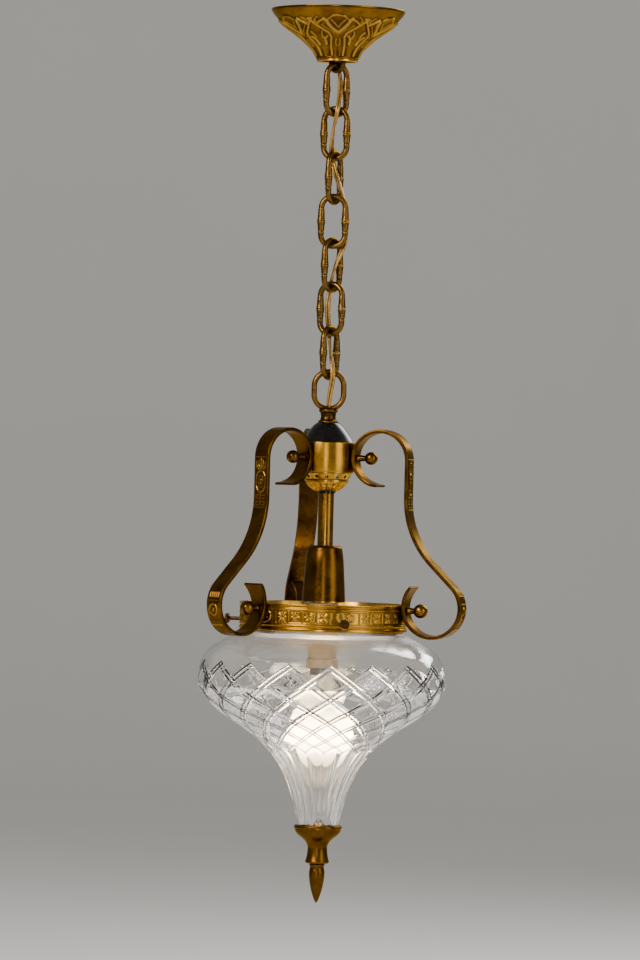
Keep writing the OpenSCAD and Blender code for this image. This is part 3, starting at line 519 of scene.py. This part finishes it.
def pressRose(angle, radius, z):
    along = np.interp(-z, -roseZ, roseAlong)
    outside = radius > np.interp(-z, -roseZ, roseR) - 0.4 * rose["sheet"]

    def flat(x, height):
        here = np.interp(-height, -roseZ, roseR)
        return here * math.asin(max(-1, min(1, x / here))), np.interp(-height, -roseZ, roseAlong)

    names = ("arch", "diamond", "vee", "veeEdge", "stem", "lobe", "sideLobe", "tear", "curl")
    strokes = bothSides([([flat(x, height) for x, height in rose[n][0]], rose[n][1], rose[n][2]) for n in names])
    period = 2 * math.pi / rose["motifs"]
    local = (angle + math.pi / 2 + period / 2) % period - period / 2
    lift = np.max([strokeHeight(radius * (local + k * period), along, strokes) for k in (-1, 0, 1)], axis=0)
    left = roseAlong[-1] - along
    for away, (at, half, tall) in ((along, rose["beadHigh"]), (left, rose["beadLow"])):
        lift = np.maximum(lift, tall * np.exp(-((away - at) / half) ** 2))
    flutes = rose["fluteDeep"] * np.cos(local * 2 * math.pi / period * rose["flutes"])
    flutes = flutes * np.clip((rose["fluteLong"] - left) / 8, 0, 1)
    fade = np.clip(along / rose["fadeHigh"], 0, 1) * np.clip(left / rose["fadeLow"], 0, 1)
    return (lift + flutes * (lift < 0.05)) * fade * outside


# The wall is inside the outline, so that the pattern stays within the rose's size
roseInside = [(r, min(max(z, -rose["height"]), 0)) for r, z in besideLine(roseLine[::4], rose["sheet"])]
work = spinOutline(roseLine + roseInside[::-1], rose["steps"])
embossPiece(work, pressRose)
addPiece(work, "ceiling_rose", "PressedRoseBrass", "rose", z=0)
print("rose made")

# Chain: cast links, each with a butt slit in its right limb
chain = {"top": -49.25, "pitch": 39.45, "length": 49.9, "width": 29.7, "wire": 5.2, "limb": 7.8, "crown": 1.0,
         "turns": (35, -20, 62, -8, 52, -28, 57), "slit": 0.4, "slitEase": 0.4, "step": 0.35, "groove": 9.0,
         "grooveDepth": 0.45, "swell": 0.42, "waistSwell": 0.5}


def linkLine():
    r = (chain["width"] - chain["limb"] - chain["crown"]) / 2
    half = chain["crown"] / 2
    side = chain["length"] - chain["wire"] - 2 * r
    middle, step = -r - side / 2, chain["step"]
    # It starts and ends at the slit, halfway down the right limb
    line = [(r + half, middle - chain["slit"] / 2)]
    line += [(r + half, z) for z in np.arange(middle - 0.6, -r - side, -step)]
    line += arcLine((half, -r - side), r, 0, -90, 4) + arcLine((-half, -r - side), r, -90, -180, 4)
    line += [(-r - half, z) for z in np.arange(-r - side + step, -r, step)]
    line += arcLine((-half, -r), r, 180, 90, 4) + arcLine((half, -r), r, 90, 0, 4)
    line += [(r + half, z) for z in np.arange(-r - step, middle + 0.6, -step)]
    return line + [(r + half, middle + chain["slit"] / 2)], middle, side


# The limb swells above and below its waist
def limbRadius(x, z, middle, side):
    t = 0.5 + (middle - z) / side
    if not 0 < t < 1:
        return chain["wire"] / 2
    thick = chain["swell"] * math.sin(t * math.pi) ** 0.5 + chain["waistSwell"] * math.exp(-((t - 0.5) * 9) ** 2)
    cut = math.exp(-((z - middle + chain["groove"]) / 0.45) ** 2)
    cut += 0.6 * math.exp(-((z - middle) / 0.5) ** 2) * (x < 0)
    return (chain["wire"] + (chain["limb"] - chain["wire"]) * thick) / 2 - chain["grooveDepth"] * cut


line, middle, side = linkLine()
radii = [limbRadius(x, z, middle, side) for x, z in line]
radii[0] -= chain["slitEase"]
radii[-1] -= chain["slitEase"]
for number, turn in enumerate(chain["turns"], 1):
    work = bmesh.new()
    addBar(work, [(x, 0, z) for x, z in line], radii)
    link = "link_%d" % number
    addPiece(work, link, "CastChainBrass", link, turn,
             chain["top"] - (number - 1) * chain["pitch"])
print("chain made")

# Flex: two cores side by side in one sheath, along the CAD cord's route
flex = {
    "core": 1.27, "apart": 1.2, "lay": 140, "start": 20,
    "above": [(22, 7.05, -9.5), (22, 8.6, -9.5), (20, 13, -12.2), (11.2, 13.4, -22), (4.2, 10.6, -31),
              (2.3, 8.5, -38), (2.3, 8.5, -45)],
    # How far below each link's top the wires cross it
    "meetDown": 2.625, "firstDown": 2.55, "firstHinge": -54.4,
    "meets": [(2.3, 8.5), (1.2, -7.3), (-2.7, 6.8), (8.9, 4.3), (10.5, 3.9), (-1.4, 7.2), (-1.5, 7.6), (3.1, -6)],
    "middles": [(3.5, 1.8), (-2.3, 0.7), (2.2, 3.8), (10, 5.7), (3.2, 2.6), (-2.8, 6.7), (0.7, 0.5)],
    "below": [(0.6, -1.8, lampZ - 23.3), (0, 0, lampZ - 33.2), (0, 0, lampZ - 45.3)],
}
swings = [flex["firstHinge"]]
swings += [chain["top"] - i * chain["pitch"] - chain["length"] + chain["wire"] for i in range(7)]
flexPoints = list(flex["above"])
for i, meet in enumerate(flex["meets"]):
    level = chain["top"] - (flex["firstDown"] if i == 0 else i * chain["pitch"] + flex["meetDown"])
    flexPoints.append(meet + (level,))
    if i < 7:
        flexPoints.append(flex["middles"][i] + (level - chain["pitch"] / 2,))
route, along = evenPoints(smoothLine(flexPoints + flex["below"], 14), 0.9)

# The flat of the flex turns slowly as it goes down
heading = np.gradient(route, axis=0)
heading /= np.linalg.norm(heading, axis=1)[:, None]
side = np.cross(heading[0], (0, 0, 1))
across = []
for direction, distance in zip(heading, along):
    side = side - np.dot(side, direction) * direction
    side /= np.linalg.norm(side)
    turned = math.radians(flex["start"]) + distance * 2 * math.pi / flex["lay"]
    across.append(math.cos(turned) * side + math.sin(turned) * np.cross(direction, side))
cores = [route + share * flex["apart"] * np.array(across) for share in (-1, 1)]

flexBodies = ["ceiling"] + ["link_%d" % i for i in range(1, 8)] + ["lamp"]
cuts = [-50] + [(swings[i] + swings[i + 1]) / 2 for i in range(7)] + [swings[-1] - 14]
ends = [0] + [int(np.argmax(route[:, 2] < cut)) for cut in cuts] + [len(route) - 1]
for i, (first, last) in enumerate(zip(ends, ends[1:])):
    work = bmesh.new()
    for core in cores:
        addBar(work, core[first:last + 1], [flex["core"]] * (last + 1 - first), 4)
    body = {0: flexBodies[0], len(ends) - 2: flexBodies[-1]}.get(i)
    piece = addPiece(work, "flex", "GoldVinylFlex", body, z=0, number=i)
    if not body:
        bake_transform(piece)
print("flex made", round(along[-1]), "mm")

# Ring with its neck
ring = {"width": 31.5, "length": 38.2, "wire": 5.0, "crown": 0.8, "neckR": 8.5, "neckLong": 12.4}
ringR = (ring["width"] - ring["wire"] - ring["crown"]) / 2
ringSide = ring["length"] - ring["wire"] - 2 * ringR
half = ring["crown"] / 2
line = arcLine((half, -ringR), ringR, 90, 0, 4) + arcLine((half, -ringR - ringSide), ringR, 0, -90, 4)
line += arcLine((-half, -ringR - ringSide), ringR, -90, -180, 4) + arcLine((-half, -ringR), ringR, 180, 90, 4)
ringLow = -(ring["length"] - ring["wire"])
capTop = ringLow - ring["neckLong"]
neckR = ring["neckR"]
neckLine = [(0, ringLow + 1.2), (6.4, ringLow + 1.2), (neckR, ringLow - 1), (neckR, ringLow - 2.6),
            (neckR - 1.4, ringLow - 3.8), (neckR - 1.9, ringLow - 7), (neckR - 1.4, capTop + 2.6),
            (neckR + 0.6, capTop + 1.2), (neckR + 0.6, capTop), (0, capTop)]
work = spinOutline(easeCorners(neckLine, 0.5, False), 96, False)
addBar(work, [(x, 0, z) for x, z in line], [ring["wire"] / 2] * len(line), 8, True)
addPiece(work, "top_ring", "CastChainBrass")

# Ball: cap, drum and fluted cup; the pierced ring between them is the CAD's
ball = {"radius": 25.2, "capHigh": 17.8, "drumHigh": 26.7, "piercedHigh": 9, "cupHigh": 8.6}
drumTop = capTop - ball["capHigh"]
piercedTop = drumTop - ball["drumHigh"]
cupTop = piercedTop - ball["piercedHigh"]
washerTop = cupTop - ball["cupHigh"]
ballR = ball["radius"]
capLine = bezierLine([(neckR + 0.6, capTop), (neckR + 4, capTop - 0.6),
                      (ballR - 5.7, capTop - 0.59 * ball["capHigh"]), (ballR - 1.8, drumTop + 0.3)], 40)
work = spinOutline(easeCorners([(6, capTop)] + capLine + [(ballR - 2.4, drumTop), (6, drumTop)], 0.25), 160)
addPiece(work, "ball_cap", "BlackJapan", sharp=40)
drumLine = bezierLine([(ballR - 0.5, drumTop), (ballR + 0.17, drumTop - 0.35 * ball["drumHigh"]),
                       (ballR + 0.17, drumTop - 0.65 * ball["drumHigh"]), (ballR - 0.7, piercedTop)], 40)
work = spinOutline(easeCorners(drumLine + [(ballR - 2, piercedTop), (ballR - 2, drumTop)], 0.45), 160)
addPiece(work, "ball_drum", "SpunDrumBrass", sharp=40)

cup = {"flutes": 18, "top": 19.3, "low": 8.1, "depth": 1.3}
cupLine = bezierLine([(cup["top"] - 0.3, cupTop), (cup["top"] - 1.9, cupTop - 0.45 * ball["cupHigh"]),
                      (cup["low"] + 4.4, washerTop + 0.6), (cup["low"], washerTop)], 60)
cupAlong = lengthsAlong(cupLine)


def fluteCup(angle, radius, z):
    lineR, lineZ = np.array(cupLine).T
    part = np.interp(-z, -lineZ, cupAlong / cupAlong[-1])
    outside = radius > np.interp(-z, -lineZ, lineR) - 0.3
    lobe = np.abs(np.cos(angle * cup["flutes"] / 2)) ** 0.7
    ends = np.clip((part - 0.1) / 0.12, 0, 1) * np.clip((0.97 - part) / 0.15, 0, 1)
    return -cup["depth"] * (1 - lobe) * ends * outside


work = spinOutline(cupLine + [(6, washerTop), (6, cupTop)], 432)
embossPiece(work, fluteCup)
addPiece(work, "fluted_cup", "StampedBandBrass", sharp=50)
print("ball made")

# Tube, and the bell-shaped cover of the lampholder
stem = {"outer": 7.0, "bore": 5.95, "shows": 47.3, "coverR": 19.4, "coverHigh": 50.8, "into": 7}
tubeTop = washerTop - 1.4
coverTop = tubeTop - stem["shows"]
coverLow = coverTop - stem["coverHigh"]
tubeLow = coverLow + stem["into"]
tubeLine = [(stem["bore"], tubeTop), (stem["outer"], tubeTop), (stem["outer"], tubeLow), (stem["bore"], tubeLow)]
work = spinOutline(easeCorners(tubeLine, 0.3), 96)
addPiece(work, "stem_tube", "TonedBrass", sharp=40)
coverR = stem["coverR"]
coverLine = smoothLine([(coverR - 6.4, coverTop), (coverR - 4.2, coverTop - 1.6), (coverR - 3.4, coverTop - 5),
                        (coverR - 2.2, coverTop - 13.7), (coverR - 0.8, coverTop - 35.6), (coverR, coverLow)], 10)
coverInside = [(9.6, coverTop - 1.2), (9.6, coverTop - 6), (7.05, coverTop - 6)]
work = spinOutline([(7.05, coverTop)] + coverLine + [(r - 1, z) for r, z in coverLine[:7:-1]] + coverInside, 160)
addPiece(work, "holder_cover", "TonedBrass", "cover", sharp=40)
print("stem made")

# Scroll arms: a strap is embossed while it is flat, and then bent along the arm's line
arm = {
    "width": 18, "thick": 3.3, "upper": 24.5, "crown": 26, "sweep": 83, "lower": 26.3, "turn": -18, "edge": 0.6,
    "flare": 3.3, "flareLong": 18, "thinned": 0.35, "thinLong": 10, "gap": 0.05, "panelHalf": 25,
    # How far the ball's scroll and the gallery are below the drum's top and the ball's screws
    "ballDown": 9.2, "scrollDown": 4.5, "galleryDown": 135.5, "lowerDown": 1.6,
    # Where the two stamped panels are along the strap, and half of each: (across, along), half width and height
    "panels": [
        (139, [([(0, -9.6), (3.4, -8.4), (5.6, -4.8), (6.1, 0), (5.6, 4.8), (3.4, 8.4), (0, 9.6)], 0.7, 0.65),
               ([(0, -5.4), (2.2, -4.4), (3.2, 0), (2.2, 4.4), (0, 5.4)], 0.6, 0.5),
               ([(0, -1.4), (0, 1.4)], 1.3, 0.7), ([(0, -11.6), (0, -19.4)], 1.2, 0.7),
               ([(1.5, -11.8), (3.3, -15), (2.6, -18.6)], 0.8, 0.6),
               ([(3.2, -11), (5.8, -13.2), (5.7, -17)], 0.8, 0.6),
               ([(0, -22), (6.4, -22)], 0.5, 0.5), ([(0, 11.6), (0, 21)], 0.6, 0.55),
               ([(1.9, 12), (5.6, 12), (5.6, 15), (2.2, 15)], 0.55, 0.5),
               ([(2.2, 17.8), (5.6, 17.8), (5.6, 20.8), (1.9, 20.8)], 0.55, 0.5),
               ([(0, 23.2), (6.6, 23.2)], 0.5, 0.5), ([(7.1, -22), (7.1, 23.2)], 0.45, 0.45)]),
        (270, [([(0, -15), (0, -10.4)], 0.7, 0.55), ([(2.7, -15), (2.7, -10.4)], 0.7, 0.55),
               ([(5.4, -15), (5.4, -10.4)], 0.7, 0.55), ([(0, -7.8), (6.9, -7.8)], 0.5, 0.5),
               ([(0, -5), (3.5, -3.5), (5, 0), (3.5, 3.5), (0, 5)], 0.9, 0.8), ([(0, -0.3), (0, 0.3)], 1.6, 0.8),
               ([(6.9, -5), (7, 2), (5.6, 8)], 0.6, 0.5), ([(0, 11), (6.9, 11)], 0.5, 0.5),
               *[([(across, 13.8), (across, 14)], 1.3, 0.9) for across in (0, 2.9, 5.8)]]),
    ],
}
ballZ = drumTop - arm["ballDown"]
upperZ = ballZ - arm["scrollDown"]
galleryTop = ballZ - arm["galleryDown"]
galleryR = 75.6
lowerZ = galleryTop - arm["lowerDown"]


# The arm's middle line in its own upright plane: tangent arcs from the ball's scroll to the gallery's
def armLine():
    upper = (ballR + arm["gap"] + arm["thick"] / 2 + arm["upper"], upperZ)
    crown = (upper[0], upper[1] + arm["upper"] - arm["crown"])
    lower = (galleryR + arm["gap"] + arm["thick"] / 2 + arm["lower"], lowerZ)
    k = math.sqrt(0.5)
    low = (lower[0] + arm["lower"] * k, lower[1] + arm["lower"] * k)
    run = (low[0] - crown[0] - arm["crown"] - arm["sweep"] * (1 - k)) / k
    sweepMiddle = (low[0] - run * k + arm["sweep"] * k, low[1] + run * k + arm["sweep"] * k)
    line = arcLine(upper, arm["upper"], 270, 90, 2) + arcLine(crown, arm["crown"], 90, 0, 2)[1:]
    line += arcLine(sweepMiddle, arm["sweep"], 180, 225, 1) + arcLine(lower, arm["lower"], 45, -225, 2)
    keep = [line[0]] + [q for p, q in zip(line, line[1:]) if math.dist(p, q) > 1e-6]
    return evenPoints(keep, 0.8)


def makeArm(number):
    line, along = armLine()
    total, thick = along[-1], arm["thick"]
    work = bmesh.new()
    bmesh.ops.create_grid(work, x_segments=len(line), y_segments=20, size=0.5)
    bmesh.ops.scale(work, verts=work.verts[:], vec=(total, arm["width"], 1))
    top = bmesh.ops.extrude_face_region(work, geom=work.faces[:], use_keep_orig=True)["geom"]
    bmesh.ops.translate(work, verts=vertsOf(top), vec=(0, 0, thick))
    bmesh.ops.translate(work, verts=work.verts[:], vec=(total / 2, 0, -thick / 2))
    bmesh.ops.recalc_face_normals(work, faces=work.faces[:])
    rims = [e for e in work.edges if len(e.link_faces) == 2 and e.calc_face_angle() > 1]
    bmesh.ops.bevel(work, geom=rims, offset=arm["edge"], offset_type="OFFSET", affect="EDGES", segments=3,
                    profile=0.5, material=-1, clamp_overlap=True)
    patch = [f for f in work.faces if f.normal.z > 0.9
             and any(abs(f.calc_center_median().x - middle) < arm["panelHalf"] for middle, panel in arm["panels"])]
    bmesh.ops.subdivide_edges(work, edges=list({e for f in patch for e in f.edges}), cuts=1, use_grid_fill=True)
    relief = work.verts.layers.float.new("relief")
    place = np.array([vert.co for vert in work.verts])
    onTop = (place[:, 2] > thick / 2 - 0.01) & (np.abs(place[:, 1]) < arm["width"] / 2 - arm["edge"])
    lift = onTop * np.max([strokeHeight(place[:, 1], place[:, 0] - middle, bothSides(panel))
                           for middle, panel in arm["panels"]], axis=0)
    # The strap's ends are hammered wider and thinner
    fromEnd = np.clip(np.minimum(place[:, 0], total - place[:, 0]), 0, None)
    wide = 1 + 2 * arm["flare"] / arm["width"] * np.clip(1 - fromEnd / arm["flareLong"], 0, 1) ** 1.6
    thin = 1 - arm["thinned"] * np.clip(1 - fromEnd / arm["thinLong"], 0, 1) ** 1.5
    normal = np.gradient(line, axis=0)
    normal = np.stack([-normal[:, 1], normal[:, 0]], 1) / np.linalg.norm(normal, axis=1)[:, None]
    out = place[:, 2] * thin + lift
    bent = [np.interp(place[:, 0], along, line[:, k]) + out * np.interp(place[:, 0], along, normal[:, k])
            for k in (0, 1)]
    for vert, x, y, z, height in zip(work.verts, bent[0], place[:, 1] * wide, bent[1], lift):
        vert.co = (x * mm, y * mm, z * mm)
        vert[relief] = height
    bmesh.ops.recalc_face_normals(work, faces=work.faces[:])
    addPiece(work, "arm_%d" % number, "TonedBrass", turn=arm["turn"] + 120 * (number - 1))


for number in (1, 2, 3):
    makeArm(number)
print("arms made")

# Gallery: a ring with ribs and a stamped band
gallery = {
    "high": 24.3, "wall": 1.6, "steps": 960, "period": 60, "lyreAt": 15.4,
    "lyre": [([(2.2, 1.5), (3.4, 3.7), (5.2, 4.5), (7.0, 3.3), (7.4, 0.4), (6.4, -2.7), (4.0, -4.2), (0.9, -4.4)],
              0.7, 0.75),
             ([(2.2, 1.5), (2.5, -0.4), (3.9, -0.6)], 0.6, 0.65), ([(0, -4.4), (0, -1.6)], 0.6, 0.55)],
    "petal": [([(1.1, 1.3), (2.9, 3.4)], 0.8, 0.7), ([(1.1, -1.3), (2.9, -3.4)], 0.8, 0.7),
              ([(0, 2.4), (0, 3.9)], 0.6, 0.55), ([(0, -2.4), (0, -3.9)], 0.6, 0.55),
              ([(2.4, 0), (3.8, 0)], 0.6, 0.5)],
    "frame": [([(-9, 5.4), (9, 5.4)], 0.4, 0.4), ([(-9, -5.4), (9, -5.4)], 0.4, 0.4)],
    "bar": [([(0, -5.4), (0, 5.4)], 0.5, 0.45)],
}
galleryLow = galleryTop - gallery["high"]


def galleryOutline():
    top, low, r, out = galleryTop, galleryLow, galleryR - 0.9, galleryR
    line = easeCorners([
        (out - 1.4, top), (out, top), (out, top - 1.4), (r, top - 2), (r, top - 3.4), (r + 0.7, top - 3.9),
        (r + 0.7, top - 5), (r, top - 5.5), (r, low + 6.6), (r + 0.7, low + 6.1), (r + 0.7, low + 5), (r, low + 4.4),
        (r, low + 3.2), (out, low + 2.6), (out, low), (out - 1.4, low)], 0.35, False)
    return [tuple(p) for p in evenPoints(line, 0.42)[0]] + [(galleryR - gallery["wall"], low + 0.3),
                                                            (galleryR - gallery["wall"], top - 0.3)]


def stampBand(angle, radius, z):
    middle = (galleryTop - 5.5 + galleryLow + 6.6) / 2
    place = (np.degrees(angle) + 90 - gallery["lyreAt"] + 10) % gallery["period"]
    lyreU = np.radians(place - 10) * galleryR
    petalU = np.radians((place - 20) % 10 - 5) * galleryR
    barU = np.radians((place + 5) % 10 - 5) * galleryR
    v = z - middle
    lyre = strokeHeight(np.abs(lyreU), v, gallery["lyre"]) * (place < 20)
    petal = strokeHeight(np.abs(petalU), v, gallery["petal"]) * (place >= 20)
    bars = strokeHeight(barU, v, gallery["bar"]) * (np.abs(place - 10) > 2)
    lift = np.max([lyre, petal, bars, strokeHeight(petalU, v, gallery["frame"])], axis=0)
    return lift * (np.abs(v) < 6.2) * (radius > galleryR - 1.3)


work = spinOutline(galleryOutline(), gallery["steps"])
embossPiece(work, stampBand)
addPiece(work, "gallery", "StampedBandBrass")
print("gallery made")

# Thumbscrews, which carry the shade's lip
shadeLip = {"down": 9.4, "thick": 5.3, "inset": 2.2, "overlap": 2.8}
lipTop = galleryTop - shadeLip["down"]
lipR = galleryR - shadeLip["inset"]
throatR = lipR - shadeLip["overlap"]
thumb = {"shaft": 1.7, "out": 14, "knob": 4.5, "ribs": 18, "ribDeep": 0.16, "first": 42}
thumbZ = lipTop - shadeLip["thick"] - 0.05 - thumb["shaft"]


def knurlThumb(angle, radius, z):
    return np.where(radius > thumb["knob"] - 0.3, thumb["ribDeep"] * (np.abs(np.sin(angle * thumb["ribs"])) - 1), 0)


out = galleryR + thumb["out"]
thumbLine = easeCorners([(0, throatR + 0.3), (1.0, throatR + 0.3), (1.7, throatR + 1), (1.7, out - 1.8),
                         (3.0, out - 0.1), (4.3, out + 0.2), (4.5, out + 0.8), (4.5, out + 2.3), (4.0, out + 3),
                         (0, out + 3)], 0.35, False)
for number in (1, 2, 3):
    work = spinOutline(thumbLine, 144, False)
    embossPiece(work, knurlThumb)
    bmesh.ops.rotate(work, verts=work.verts[:], matrix=Matrix.Rotation(math.radians(90), 3, "Y"))
    screw = "thumbscrew_%d" % number
    addPiece(work, screw, "BlackenedBrass", screw, thumb["first"] + 120 * (number - 1),
             lampZ + thumbZ, 50)
print("thumbscrews made")

# Glass shade: blown crystal, with pairs of mitre cuts that cross as a lattice, and flutes below them
shade = {
    "radius": 111.5, "high": 176, "wall": 4.5, "foot": 18.4, "bore": 14.2, "repeats": 18, "apex": 4.3,
    # Rows of the lattice, and how far each is down the glass from latticeTop
    "rows": (-12, 0, 12, 24, 36, 48, 60, 72, 84, 96, 108), "latticeTop": -262.9,
    "down": (-14.3, 0, 14.3, 29.6, 46, 63, 79, 91.7, 100.5, 108.3, 115.5),
    "half": 12, "long": 96, "pair": 2, "cut": 1.3, "cutSteep": 0.8, "cutHalf": 1.3, "scoop": (0.1, 0.036),
}
shadeTop = galleryLow - 2.2
shadeLow = galleryLow - shade["high"]
footZ = shadeLow - 6
step = 2 * math.pi / (shade["repeats"] * 2 * shade["half"])


def shadeBody():
    r, bellyZ = shade["radius"], galleryLow - 0.268 * shade["high"]
    bend = (0.655 * r, bellyZ - 0.228 * shade["high"])
    line = bezierLine([(lipR - 1.4, shadeTop), (0.855 * r, shadeTop - 12.3), (r, shadeTop - 13.6), (r, bellyZ)], 40)
    line += bezierLine([(r, bellyZ), (r, bellyZ - 0.103 * shade["high"]),
                        (bend[0] + 8.4, bend[1] + 5.3), bend], 40)[1:]
    line += bezierLine([bend, (bend[0] - 37.9, bend[1] - 24.3), (shade["foot"] + 7.7, shadeLow + 38.5),
                        (shade["foot"], shadeLow)], 60)[1:]
    return line


body = shadeBody()
bodyR, bodyZ = np.array(body).T
bodyAlong = lengthsAlong(body)
topAlong = np.interp(-shade["latticeTop"], -bodyZ, bodyAlong)


def rowHeight(row):
    return np.interp(topAlong + np.interp(row, shade["rows"], shade["down"]), bodyAlong, bodyZ)


def rowAt(z):
    return np.interp(np.interp(-z, -bodyZ, bodyAlong) - topAlong, shade["down"], shade["rows"])


# Which column and row a point of the glass is in, counted from the lattice's apex lines
def latticePlace(angle, z):
    half = shade["half"]
    return angle / step, rowAt(z), np.abs((angle / step + half) % (2 * half) - half)


def fromCut(column, row):
    half, near = shade["half"], np.full_like(row, 99.0)
    for family in (column + row, column - row):
        for pair in (-shade["pair"], shade["pair"]):
            near = np.minimum(near, np.abs((family - pair + half) % (2 * half) - half))
    return near


def cutShade(angle, radius, z):
    column, row, c = latticePlace(angle, z)
    here = np.interp(-z, -bodyZ, bodyR)
    deep = np.minimum(shade["cut"], shade["cutSteep"] * here * step)
    inside = np.clip((row - c + shade["pair"] + 1) / 1.2, 0, 1) * np.clip((shade["long"] - c + 3 - row) / 1.2, 0, 1)
    mitre = deep * np.clip(1 - fromCut(column, row) / shade["cutHalf"], 0, 1) * inside
    flute = np.clip((row - shade["long"] + c - 1) / 8, 0, 1) * np.clip((z - shadeLow - 1.5) / 8, 0, 1)
    scoop = (shade["scoop"][0] + shade["scoop"][1] * here) * (1 - (1 - c / shade["half"]) ** 2) * flute
    outside = (np.abs(radius - here) < 0.6) & (z < shadeTop - 4) & (z > shadeLow)
    return -np.maximum(mitre, scoop) * outside


head = easeCorners([(throatR - 3.6, lipTop), (lipR - 0.6, lipTop), (lipR, lipTop - 0.6),
                    (lipR, lipTop - shadeLip["thick"]), (throatR, lipTop - shadeLip["thick"]),
                    (throatR, galleryLow + 1.6), (lipR - 1.4, shadeTop)], 0.6, False)[1:-1]
heights = list(np.linspace(shadeTop, rowHeight(-6), 12)) + [float(rowHeight(j)) for j in range(-5, 101)]
heights += list(np.linspace(heights[-1], shadeLow, 22))[1:]
outline = head + [(float(np.interp(-z, -bodyZ, bodyR)), float(z)) for z in heights]
outline += [(shade["foot"] - 0.2, footZ + 1.2), (shade["foot"] - 1.4, footZ)]
inside = [p for p in besideLine(body[3:-1:8], shade["wall"]) if p[1] > footZ + 5]
inside = [(throatR - 3.6, lipTop)] + [p if p[0] < throatR - 3.6 or p[1] < lipTop - 20 else (throatR - 3.6, p[1])
                                      for p in inside]
inside += [(shade["bore"], footZ + 4.6), (shade["bore"] - 0.8, footZ + 4), (3.6, footZ + 4), (3.6, footZ)]
work = spinOutline(outline + inside[::-1], 2 * shade["half"] * shade["repeats"])
# A face that a cut crosses gets a middle point, so that the cut's floor runs straight through it
crossed = []
for face in work.faces:
    x, y, z = face.calc_center_median() / mm
    if abs(math.hypot(x, y) - np.interp(-z, -bodyZ, bodyR)) < 0.6 and shadeTop - 4 > z > shadeLow:
        column, row, c = latticePlace(math.atan2(y, x), np.array(z))
        if c - 4 < row < shade["long"] - c + 4 and fromCut(column, row) < 1.1:
            crossed.append(face)
bmesh.ops.poke(work, faces=crossed)
embossPiece(work, cutShade)
glassShade = addPiece(work, "glass_shade", "CutCrystal", turn=-90 + shade["apex"], sharp=24)
print("shade made", len(glassShade.data.polygons), "faces,", len(crossed), "of them crossed by cuts")

# Cup under the shade, and its finial
foot = {"rim": 21.6, "waist": 8.8, "skirt": 10.8, "high": 34.2, "bore": 2.55, "finialR": 7, "finialLong": 36}
rim, waist, skirt, bore = foot["rim"], foot["waist"], foot["skirt"], foot["bore"]
cupFloor = footZ - 0.8
cupRimZ = shadeLow + 0.2
cupLow = cupRimZ - foot["high"]
neckZ = cupRimZ - 0.58 * foot["high"]
cupOut = [(rim - 0.6, cupRimZ), (rim, cupRimZ - 0.5), (rim, cupRimZ - 2.4)]
cupOut += bezierLine([(rim - 0.6, cupRimZ - 3), (rim - 1, cupFloor - 3.5), (waist + 1, cupFloor - 4.5),
                      (waist, neckZ)], 24)
cupOut += bezierLine([(waist, neckZ), (waist, neckZ - 5), (skirt - 1.2, cupLow + 5), (skirt, cupLow + 1.8)], 16)[1:]
cupOut += [(skirt, cupLow + 1), (skirt - 1, cupLow), (bore, cupLow), (bore, cupFloor), (18.8, cupFloor),
           (19.6, cupRimZ)]
work = spinOutline(easeCorners(cupOut, 0.4), 160)
addPiece(work, "shade_cup", "TonedBrass", sharp=40)
finR, finTop = foot["finialR"], cupLow - 0.05
tipZ = cupLow - foot["finialLong"]
finialLine = smoothLine([(finR - 1.2, finTop), (finR, finTop - 1.2), (finR - 0.7, finTop - 3.6), (finR, finTop - 8.6),
                         (finR - 0.5, finTop - 16), (finR - 2.2, finTop - 24.5), (2, tipZ + 3.2), (0, tipZ)], 8)
work = spinOutline([(0, finTop - 12), (bore, finTop - 12), (bore, finTop)] + finialLine, 96, False)
addPiece(work, "finial", "TonedBrass", "finial", sharp=40)
print("cup and finial made")

# Bulb: its glass only, as its cap, mount and filament are the CAD's
bulb = {"radius": 30, "capR": 10.95, "capHigh": 17, "capLong": 25, "long": 108, "wall": 0.6, "holderDown": 56.2}
holderLow = coverLow - bulb["holderDown"]
bulbTop = holderLow + bulb["capHigh"]
bulbZ = bulbTop - bulb["long"] + bulb["radius"]
bulbNeck = bulb["capR"] - 0.7
neckTop = bulbTop - bulb["capLong"] + 4
bulbLine = [(bulbNeck, neckTop), (bulbNeck, neckTop - 6)]
bulbLine += bezierLine([(bulbNeck, neckTop - 8), (bulbNeck + 0.6, neckTop - 22), (bulb["radius"] - 0.3, bulbZ + 21),
                        (bulb["radius"], bulbZ)], 40)
bulbLine += arcLine((0, bulbZ), bulb["radius"], 0, -90, 3)[1:]
bulbInside = [(max(r, 0), z) for r, z in besideLine(bulbLine, bulb["wall"])]
bulbInside[-1] = (0, bulbInside[-1][1])
work = spinOutline(bulbLine + bulbInside[::-1], 128)
addPiece(work, "bulb_glass", "PearlBulbGlass", "bulb")
print("bulb made")

# CAD nodes that stay as they are, with their materials
dressed = [
    ("DullSteel", ("ceiling_plate", "hanger_rod", "rod_nut", "cover_screw", "upper_nuts", "lower_nuts",
                           "finial_stud", "bulb_cap")),
    ("BlackJapan", ("tube_washer",)),
    ("MouldedUrea", ("holder_body", "terminal_block")),
    ("GlazedPorcelain", ("contact_block",)),
    ("GoldVinylFlex", ("stem_flex",)),
    ("VulcanFibre", ("foot_washer",)),
    ("StampedBandBrass", ("rose_ring", "pierced_ring", "terminal_screws", "nipple", "holder_cap",
                                 "contact_plungers", "inner_washer", "stud_nut")),
    ("TonedBrass", ("upper_ball_screws", "lower_ball_screws")),
    ("CastChainBrass", ("hanger_loop",)),
    ("StemGlass", ("bulb_mount",)),
    ("HotTungsten", ("bulb_filament",)),
]
for finish, names in dressed:
    for name in names:
        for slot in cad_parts[name].material_slots:
            slot.material = materials[finish]
print("CAD nodes dressed")
